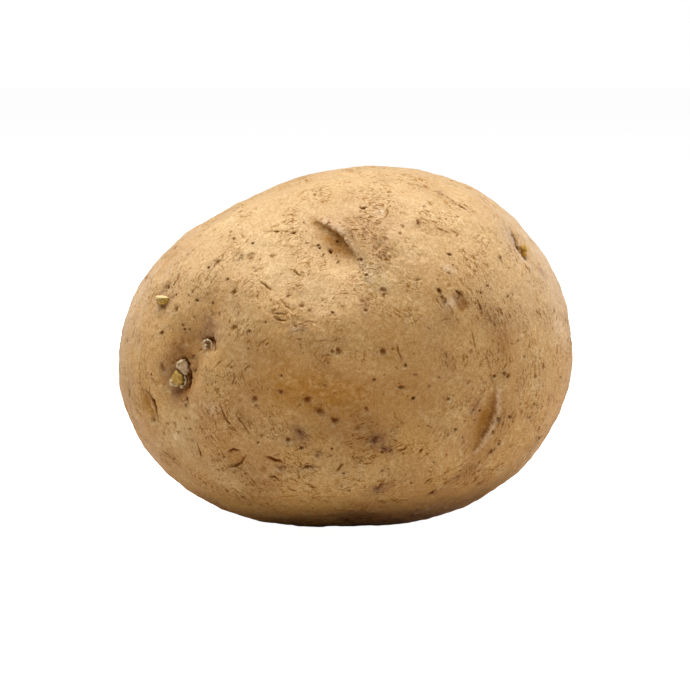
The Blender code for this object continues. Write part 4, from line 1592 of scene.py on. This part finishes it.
@dataclass(frozen=True)
class ScaleFinish(BudFinish):
    """The dry papery scales round a bud: dull, and streaked in two tones over a rough grain."""

    light: str = "#C9B48F"
    dark: str = "#8A7355"
    size: float = 0.35
    detail: float = 4.0
    rough: float = 0.7
    blend: tuple[float, float] = (0.4, 0.62)
    roughness: float = 0.75
    relief: float = 0.05
    ior: float = 1.45
    translucence: float = 0.0


# ---------------------------------------------------------------- pieces


def linked(name: str, data: Any) -> bpy.types.Object:
    """A new object in the scene, with its mesh, lamp or camera."""
    made = bpy.data.objects.new(name, data)
    bpy.context.scene.collection.objects.link(made)
    return made


def add_piece(name: str, points: np.ndarray, faces: list, material: Any) -> bpy.types.Object:
    """A smooth piece in metres that rides on the tuber.

    Args:
        name: the piece's name.
        points: its vertices in millimetres.
        faces: its faces.
        material: its material.

    Returns:
        The object.
    """
    mesh = bpy.data.meshes.new(name)
    mesh.from_pydata((points * MM).tolist(), [], faces)
    mesh.materials.append(material)
    mesh.shade_smooth()
    made = linked(name, mesh)
    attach(made, BODY)
    LOG.info("%s: %d vertices, %d faces", name, len(mesh.vertices), len(mesh.polygons))
    return made


def nearness(points: np.ndarray, places: Any, reach: float, fade: float) -> np.ndarray:
    """How near each point is to any of some places.

    Args:
        points: the points.
        places: the places.
        reach: the distance at which nearness ends.
        fade: how far inside of that it starts to fall.

    Returns:
        1 for points that are near, and 0 for those out of reach.
    """
    near = np.zeros(len(points))
    for place in places:
        gap = np.linalg.norm(points - place, axis=1)
        near = np.maximum(near, np.clip((reach - gap) / fade, 0, 1))
    return near


@dataclass(frozen=True)
class TuberSkin:
    """The skin of the whole tuber, one piece."""

    buds: tuple[Spot, ...]
    base_cells: int = 96
    cells: int = 52
    front_cell: float = 0.8
    smoothing: int = 6
    ironing: int = 110  # rounds
    swell: float = 0.511  # a little over the 0.5 of a smoothing round
    brow_reach: float = 5.5
    bud_reach: float = 2.3

    def base(self) -> Surface:
        """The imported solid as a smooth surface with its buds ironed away.

        Returns:
            The surface, which keeps the solid's brows and has no facets elsewhere.
        """
        solid = packed_surface(NODE)
        ball = Ball(self.base_cells)
        points, _ = solid.lay(ball.ways)
        edges, _ = mesh_edges(ball.faces)
        points = relax(points, edges, np.full(len(points), 0.5), self.smoothing)
        crests = [place for brow in [*brows(), *far_brows()] for place in brow.track.on(solid)[0]]
        soft = 1 - nearness(points, crests, self.brow_reach, 2.5)
        # Each smoothing round is followed by a swelling one, so that the whole doesn't shrink.
        for _ in range(self.ironing):
            points = relax(points, edges, 0.5 * soft, 1)
            points = relax(points, edges, -self.swell * soft, 1)
        feet = [solid.seen(spot)[0] for spot in self.buds]
        points = relax(points, edges, 0.8 * nearness(points, feet, self.bud_reach, 0.5), 120)
        points[:, 2] = np.maximum(points[:, 2], 0.0)
        return Surface(points, ball.faces)

    def build(self, material: Any) -> Surface:
        """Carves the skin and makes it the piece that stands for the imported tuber.

        Args:
            material: the skin's material.

        Returns:
            The carved surface.
        """
        base = self.base()
        kinds = (brows, eyes, tinted_areas, pores, cuts, far_brows, far_eyes)
        marks = [mark for kind in kinds for mark in kind()] + Scatter().marks(base)
        skin = refined_skin(base, marks, self.cells, self.front_cell)
        LOG.info("%d marks on %d triangles", len(marks), len(skin.ball.faces))
        # Soft lumps all over, as growth and drying leave them.
        for length, rise in ((9.0, 0.06), (5.0, 0.055), (2.6, 0.035), (1.5, 0.018)):
            skin.height += rise * Ripple(length, int(10 * length)).at(skin.points)
        for mark in marks:
            mark.carve(skin)
        points = skin.carved()
        made = add_piece("potato_skin", points, skin.ball.faces.tolist(), material)
        layer = made.data.uv_layers.new(name="OFBake")
        layer.uv.foreach_set("vector", skin.ball.atlas().astype(np.float32).ravel())
        for tint, values in skin.tints.items():
            painted = made.data.attributes.new(tint.value, "FLOAT", "POINT")
            painted.data.foreach_set("value", values.astype(np.float32))
        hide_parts(NODE)
        return Surface(points, skin.ball.faces)


def ring_faces(rings: int, segments: int) -> list:
    """The faces of a closed piece: a point, rings of points round its axis, and a point.

    Args:
        rings: how many rings it has.
        segments: how many points each ring has.

    Returns:
        The faces, which look outwards if the first point is the upper one.
    """
    faces: list = []
    last = 1 + (rings - 1) * segments
    for j in range(segments):
        k = (j + 1) % segments
        faces += [(0, 1 + k, 1 + j), (last + segments, last + j, last + k)]
        for a in range(1, last, segments):
            faces.append((a + j, a + k, a + segments + k, a + segments + j))
    return faces


@dataclass(frozen=True)
class Lobe:
    """A closed, lumpy egg that is part of a bud, in the bud's own frame.

    The frame's x runs across, y up along the skin and z out of it.
    """

    centre: tuple[float, float, float]
    size: tuple[float, float, float]  # its full width, height and depth
    turn: float = 0.0  # in the plane of the skin, in degrees
    taper: float = 0.0  # how much narrower its lower end is
    lumps: float = 0.06
    seed: int = 0
    rings: int = 19
    segments: int = 28

    def mesh(self) -> tuple[np.ndarray, list]:
        """The lobe's points and faces."""
        down = np.linspace(0, math.pi, self.rings + 2)[1:-1, None]
        round_ = np.arange(self.segments) * 2 * math.pi / self.segments
        ring = [np.sin(down) * np.cos(round_), np.cos(down) + 0 * round_,
                np.sin(down) * np.sin(round_)]
        rings = np.stack(ring, axis=-1).reshape(-1, 3)
        points = np.concatenate([[(0.0, 1.0, 0.0)], rings, [(0.0, -1.0, 0.0)]])
        points[:, [0, 2]] *= 1 - self.taper * (0.5 - 0.5 * points[:, [1]])
        points *= 1 + self.lumps * Ripple(0.9, self.seed).at(points)[:, None]
        points = turned(points * 0.5 * np.array(self.size), self.turn, 0, 1)
        return points + np.array(self.centre), ring_faces(self.rings, self.segments)


@dataclass(frozen=True)
class Bowl:
    """A closed bowl with a flat top, in the bud's own frame: its axis runs up and outwards."""

    centre: tuple[float, float, float]  # of its top
    wide: float
    deep: float  # front to back
    tall: float
    tip: float = 0.0  # how far one end of the top is drawn out
    lumps: float = 0.04
    seed: int = 0
    nod: float = 20.0  # how far the top leans towards the viewer, in degrees
    lean: float = 3.0  # how far it leans to the right, in degrees
    rings: int = 18  # of its outside
    segments: int = 36

    TOP = ((0.98, 0.05), (0.9, 0.06), (0.7, 0.0), (0.4, -0.03))  # its rim and top: radius, level

    def mesh(self) -> tuple[np.ndarray, list]:
        """The bowl's points and faces."""
        round_ = np.arange(self.segments) * 2 * math.pi / self.segments
        drawn = 1 + self.tip * np.clip(np.cos(round_ - 0.3), 0, 1) ** 6
        quarter = 0.5 * math.pi * np.linspace(0.06, 1, self.rings)
        rows = [*zip(np.sin(quarter) ** 0.9, -np.cos(quarter)), *self.TOP]
        points = [np.array([[0.0, -1.02, 0.0]])]
        for radius, level in rows:
            far = drawn if radius > 0.6 else 1.0
            x = 0.5 * self.wide * radius * far * np.cos(round_)
            z = 0.5 * self.deep * radius * np.sin(round_)
            points.append(np.stack([x, level + 0 * x, z], axis=1))
        places = np.concatenate([*points, [[0.0, -0.04, 0.0]]])
        places *= 1 + self.lumps * Ripple(0.9, self.seed).at(places)[:, None]
        places[:, 1] *= self.tall
        places = turned(turned(places, self.nod, 1, 2), -self.lean, 0, 1)
        faces = [face[:1] + face[:0:-1] for face in ring_faces(len(rows), self.segments)]
        return places + np.array(self.centre), faces


@dataclass(frozen=True)
class Bract:
    """A small dry scale: a curled leaf with a thickness, in the bud's own frame."""

    centre: tuple[float, float, float]  # where its root is
    length: float
    width: float
    turn: float  # the way that it grows, in degrees from across, in the plane of the skin
    rise: float  # how steeply it leaves the skin, 0 to 1
    seed: int
    curl: float = 0.5
    thick: float = 0.12
    along: int = 9  # points from its root to its tip
    over: int = 7  # points from side to side

    def mesh(self) -> tuple[np.ndarray, list]:
        """The scale's points and faces, closed round its edge."""
        along, over = self.along, self.over
        s, t = np.meshgrid(np.linspace(0, 1, along), np.linspace(-1, 1, over), indexing="ij")
        wide = 0.5 * self.width * np.sqrt(np.clip(1 - (1.02 * s - 0.35) ** 2 / 0.45, 0.02, 1))
        x = self.length * (s - 0.5 * self.curl * s**2)
        z = self.length * (self.rise * s - 0.6 * self.curl * s**3) - 0.35 * wide * t**2
        sheet = np.stack([x, t * wide, z], axis=-1).reshape(-1, 3)
        sheet += 0.04 * Ripple(0.5, self.seed).at(sheet)[:, None]
        taper = (1 - 0.6 * s.ravel() ** 2)[:, None]
        points = np.concatenate([sheet, sheet - np.array([0.0, 0.0, self.thick]) * taper])
        count = along * over
        faces = []
        for a in (i * over + j for i in range(along - 1) for j in range(over - 1)):
            faces.append((a, a + over, a + over + 1, a + 1))
            faces.append((count + a, count + a + 1, count + a + over + 1, count + a + over))
        rim = [*range(over), *range(2 * over - 1, count, over)]
        rim += [*range(count - 2, count - over - 1, -1), *range(count - 2 * over, 0, -over)]
        faces += [(a, b, count + b, count + a) for a, b in zip(rim, [*rim[1:], rim[0]])]
        return turned(points, self.turn, 0, 1) + np.array(self.centre), faces


@dataclass(frozen=True)
class Sprout:
    """A bud in its eye: lobes of living flesh with dry scales about them."""

    name: str
    spot: Spot
    flesh: tuple[Any, ...] = ()
    dry: tuple[Any, ...] = ()
    turn: float = 0.0
    facing: float = 0.0  # how far it leans from the skin's normal towards the viewer
    flesh_finish: BudFinish = BudFinish()
    dry_finish: ScaleFinish = ScaleFinish()

    def build(self, surface: Surface) -> None:
        """Sets the bud's lobes and scales on the carved skin.

        Args:
            surface: the carved skin.
        """
        point, normal = surface.seen(self.spot)
        across, up, towards = (np.array(way) for way in SIGHT.axes(self.spot.azimuth))
        out = unit(normal * (1 - self.facing) + towards * self.facing)
        angle = math.radians(self.turn)
        first = across * math.cos(angle) + up * math.sin(angle)
        first = unit(first - out * (first @ out))
        axes = np.stack([first, np.cross(out, first), out])
        kinds = (("flesh", self.flesh, self.flesh_finish), ("scales", self.dry, self.dry_finish))
        for kind, parts, finish in kinds:
            if not parts:
                continue
            points, faces = np.empty((0, 3)), []
            for part in parts:
                some, around = part.mesh()
                faces += [tuple(len(points) + k for k in face) for face in around]
                points = np.concatenate([points, some])
            name = f"{self.name}_{kind}"
            add_piece(name, points @ axes + point, faces, finish.material(name))


def lobes(*rows: tuple[float, ...], lumps: float = 0.12) -> tuple[Lobe, ...]:
    """Lobes of a bud, each given as its centre, size, turn, seed and, if not the same, lumps."""
    return tuple(
        Lobe(row[:3], row[3:6], row[6], lumps=(*row, lumps)[8], seed=int(row[7])) for row in rows
    )


def bracts(
    start: float, end: float, count: int, reach: float, foot: float, length: float, width: float,
    rise: float, seed: int,
) -> tuple[Bract, ...]:
    """A ring of dry scales.

    Args:
        start: the first scale's angle from across, in radians.
        end: the last one's.
        count: how many there are.
        reach: the radius on which their roots stand.
        foot: how far out of the skin the roots are.
        length: a scale's length.
        width: its width.
        rise: how steeply it leaves the skin.
        seed: the seed of the first.

    Returns:
        The scales.
    """
    return tuple(
        Bract((reach * math.cos(a), reach * math.sin(a), foot), length, width, math.degrees(a),
              rise, seed + k)
        for k, a in enumerate(np.linspace(start, end, count))
    )


def sprouts() -> list[Sprout]:
    """The buds in the eyes, the ones in front first."""
    cream = ScaleFinish("#E9D4A6", "#BE9F6F")
    made = [
        Sprout(  # the cupped bud with its flat rim
            "cupped_bud", Spot(-38.2, 9.3), facing=0.8,
            flesh=(Bowl((0.0, 0.7, 0.7), 3.0, 2.3, 1.55, 0.2, seed=3),),
            dry=(Bowl((0.0, 0.76, 0.72), 3.08, 2.36, 0.2, 0.22, lumps=0.03, seed=5),
                 *lobes((-1.15, 0.3, 1.6, 0.42, 0.34, 0.3, 0.0, 60),
                        (-0.7, 0.2, 1.8, 0.34, 0.3, 0.3, 0.0, 61), lumps=0.06)),
            flesh_finish=BudFinish("#D3AC50", "#94702A"),
            dry_finish=ScaleFinish("#E6D3A0", "#C2A56C"),
        ),
        Sprout(  # the round bud, with scales about its foot
            "round_bud", Spot(-34.9, -7.0), facing=0.75,
            flesh=(Lobe((-0.1, 0.1, 0.7), (3.0, 2.9, 2.6), 172, 0.3, seed=6),),
            dry=lobes(
                (-1.5, -0.45, 0.9, 0.5, 0.9, 0.5, -20, 31),
                (-1.35, -1.15, 0.9, 0.8, 0.5, 0.5, -30, 32, 0.14),
                (-0.5, -1.4, 1.0, 1.1, 0.42, 0.5, -8, 33),
                (0.7, -1.65, 1.0, 0.8, 0.65, 0.55, 25, 34, 0.14),
                (1.45, -0.85, 0.9, 0.5, 1.2, 0.5, -10, 35),
                (1.4, 0.15, 0.8, 0.45, 1.0, 0.4, 22, 36),
            ),
            flesh_finish=BudFinish("#D6AF58", "#AD8840"), dry_finish=cream,
        ),
        Sprout(  # the scaly bud beside it
            "scaly_bud", Spot(-33.8, -4.6), facing=0.75,
            flesh=(Lobe((0.0, 0.0, 0.9), (2.8, 3.2, 2.0), 24, 0.45, 0.04, 8),),
            dry=lobes((-0.5, 1.15, 1.2, 2.0, 0.5, 1.2, 22, 9, 0.06),
                      (-1.15, 0.5, 1.25, 0.45, 1.2, 0.8, -14, 10, 0.08)),
            flesh_finish=BudFinish("#D6BA92", "#B4946C"), dry_finish=cream,
        ),
        Sprout(  # the small ring of scales with its tail, open below
            "ring_bud", Spot(-28.8, 0.0), facing=0.5,
            dry=lobes(
                (-0.6, 0.7, 0.4, 0.75, 0.42, 0.6, 38, 40), (0.1, 1.0, 0.45, 0.85, 0.38, 0.6, -4, 41),
                (0.7, 0.68, 0.4, 0.75, 0.4, 0.55, -52, 42),
                (0.97, -0.1, 0.35, 0.38, 1.2, 0.6, -3, 43, 0.12),
                (1.02, -1.1, 0.3, 0.34, 1.1, 0.45, 5, 13, 0.1),
                (0.85, -1.7, 0.3, 0.55, 0.42, 0.4, 20, 14, 0.1),
                (-0.95, 0.25, 0.3, 0.4, 0.6, 0.5, 0, 44, 0.12),
                (-0.35, -0.05, 0.4, 0.65, 0.5, 0.75, 20, 12),
                (-0.4, -0.65, 0.35, 0.9, 0.42, 0.6, -22, 15), lumps=0.14,
            ),
            dry_finish=ScaleFinish("#EBD9B2", "#B89B70"),
        ),
        Sprout(  # the yellow bud on the right shoulder
            "shoulder_bud", Spot(37.3, 19.8),
            flesh=lobes((0.0, 0.2, 0.25, 1.4, 1.9, 1.4, 25, 15),
                        (0.15, -1.0, 0.2, 1.0, 1.0, 1.0, 25, 16), lumps=0.06),
            flesh_finish=BudFinish("#D3A43C", "#A87A22"),
        ),
    ]
    for name, spot, size, turn, seed in (
        ("back_bud", Spot(22.6, 2.6, 180.0), 1.6, 0.0, 21),
        ("upper_back_bud", Spot(-11.8, 15.0, 180.0), 1.8, 20.0, 31),
        ("end_bud", Spot(-9.2, 0.8, 270.0), 1.7, -15.0, 41),
    ):
        flesh = Lobe((0.0, 0.0, 0.3), (size, 1.15 * size, size), taper=0.2, seed=seed)
        dry = bracts(2.6, 6.4, 5, 0.42 * size, 0.1, 0.55 * size, 0.5 * size, 0.9, seed)
        green = BudFinish("#C6A04A", "#9C7A34")
        made.append(Sprout(name, spot, (flesh,), dry, turn, flesh_finish=green))
    stub = Sprout(  # the dry end of the stalk
        "stalk_stub", Spot(4.0, -3.0, 90.0),
        dry=(*lobes((0.0, 0.0, 0.1, 2.4, 2.2, 1.1, 0.0, 51), lumps=0.14),
             *bracts(0.4, 5.9, 6, 0.9, 0.0, 0.8, 0.8, 0.6, 60)),
        dry_finish=ScaleFinish("#A87A48", "#754A26"),
    )
    return [*made, stub]


# ---------------------------------------------------------------- the studio


@dataclass(frozen=True)
class SoftLight:
    """A rectangular studio light that points at the tuber's middle."""

    name: str
    place: tuple[float, float, float]  # in metres
    size: tuple[float, float]
    power: float

    def build(self, aim: Vector) -> None:
        """Adds the light.

        Args:
            aim: the point that it shines on.
        """
        data = bpy.data.lights.new(self.name, "AREA")
        data.shape = "RECTANGLE"
        data.size, data.size_y = self.size
        data.energy = self.power
        lamp = linked(self.name, data)
        lamp.location = self.place
        lamp.rotation_euler = (aim - Vector(self.place)).to_track_quat("-Z", "Y").to_euler()


LIGHTS = (  # a small key overhead, and weak large ones about the tuber
    SoftLight("overhead", (0.0, 0.0, 0.9), (0.7, 0.7), 9.6),
    SoftLight("top_left", (-0.45, 0.0, 0.7), (0.4, 0.4), 2.0),
    SoftLight("top_front", (0.0, -0.45, 0.75), (0.4, 0.4), 1.3),
    SoftLight("right", (0.8, 0.0, 0.25), (0.6, 0.5), 1.9),
    SoftLight("back_left", (-0.6, 0.5, 0.2), (0.5, 0.4), 1.1),
    SoftLight("back_right", (0.6, 0.5, 0.2), (0.5, 0.4), 1.1),
)


@dataclass(frozen=True)
class Studio:
    """A plain pale floor, soft light from above and the sides, and the camera."""

    floor_tone: str = "#DFDEDC"
    glow: float = 0.98  # how much whiter the lit floor looks than its own bounce
    back_light: float = 1.0  # how bright the surround looks
    fill: float = 0.0  # how much it lights the tuber
    floor_side: float = 12.0  # in metres
    view_width: float = 144.7  # millimetres of the tuber's plane that the picture spans
    sensor: float = 36.0

    def build(self) -> None:
        """Adds the floor, the surround, the lights and the camera."""
        middle = Vector(SIGHT.middle) * MM
        for light in LIGHTS:
            light.build(middle)
        self.build_floor()
        self.build_surround()
        _, _, towards = SIGHT.axes(0.0)
        data = bpy.data.cameras.new("camera")
        data.sensor_width = self.sensor
        data.lens = self.sensor * SIGHT.distance / self.view_width
        camera = linked("camera", data)
        camera.location = middle + towards * SIGHT.distance * MM
        camera.rotation_euler = towards.to_track_quat("Z", "Y").to_euler()
        bpy.context.scene.camera = camera
        bpy.context.scene.view_settings.view_transform = "Standard"

    def build_floor(self) -> None:
        """The floor: a matt white sheet, lit from behind, with a soft shadow on it."""
        half = 0.5 * self.floor_side
        mesh = bpy.data.meshes.new("floor")
        corners = [(-half, -half, 0.0), (half, -half, 0.0), (half, half, 0.0), (-half, half, 0.0)]
        mesh.from_pydata(corners, [], [(0, 1, 2, 3)])
        material = bpy.data.materials.new("matt_paper")
        material.use_nodes = True
        tree = material.node_tree
        seen = add(tree, "LightPath", out="Is Camera Ray")
        sockets = {
            "Emission Strength": add(tree, "Math", (seen, self.glow), **TIMES),
            "Emission Color": (1.0, 1.0, 1.0, 1.0),
            "Base Color": linear(self.floor_tone),
            "Roughness": 1.0,
            "Specular IOR Level": 0.0,
        }
        for name, value in sockets.items():
            feed(tree, tree.nodes["Principled BSDF"].inputs[name], value)
        mesh.materials.append(material)
        floor = linked("floor", mesh)

    def build_surround(self) -> None:
        """The white surround, which the camera sees and which lights the tuber only by its fill."""
        world = bpy.data.worlds.new("surround")
        world.use_nodes = True
        bpy.context.scene.world = world
        tree = world.node_tree
        seen = add(tree, "LightPath", out="Is Camera Ray")
        strength = add(tree, "MapRange", {0: seen, "To Min": self.fill, "To Max": self.back_light})
        background = tree.nodes["Background"]
        feed(tree, background.inputs["Strength"], strength)
        feed(tree, background.inputs["Color"], (1.0, 1.0, 1.0, 1.0))


def main() -> None:
    """Builds the skin, the buds and the studio."""
    logging.basicConfig(level=logging.INFO, format="%(message)s")
    buds = sprouts()
    skin = TuberSkin(tuple(bud.spot for bud in buds))
    surface = skin.build(PeridermFinish().material())
    for bud in buds:
        bud.build(surface)
    Studio().build()
    bpy.context.view_layer.update()


if __name__ == "__main__":
    main()
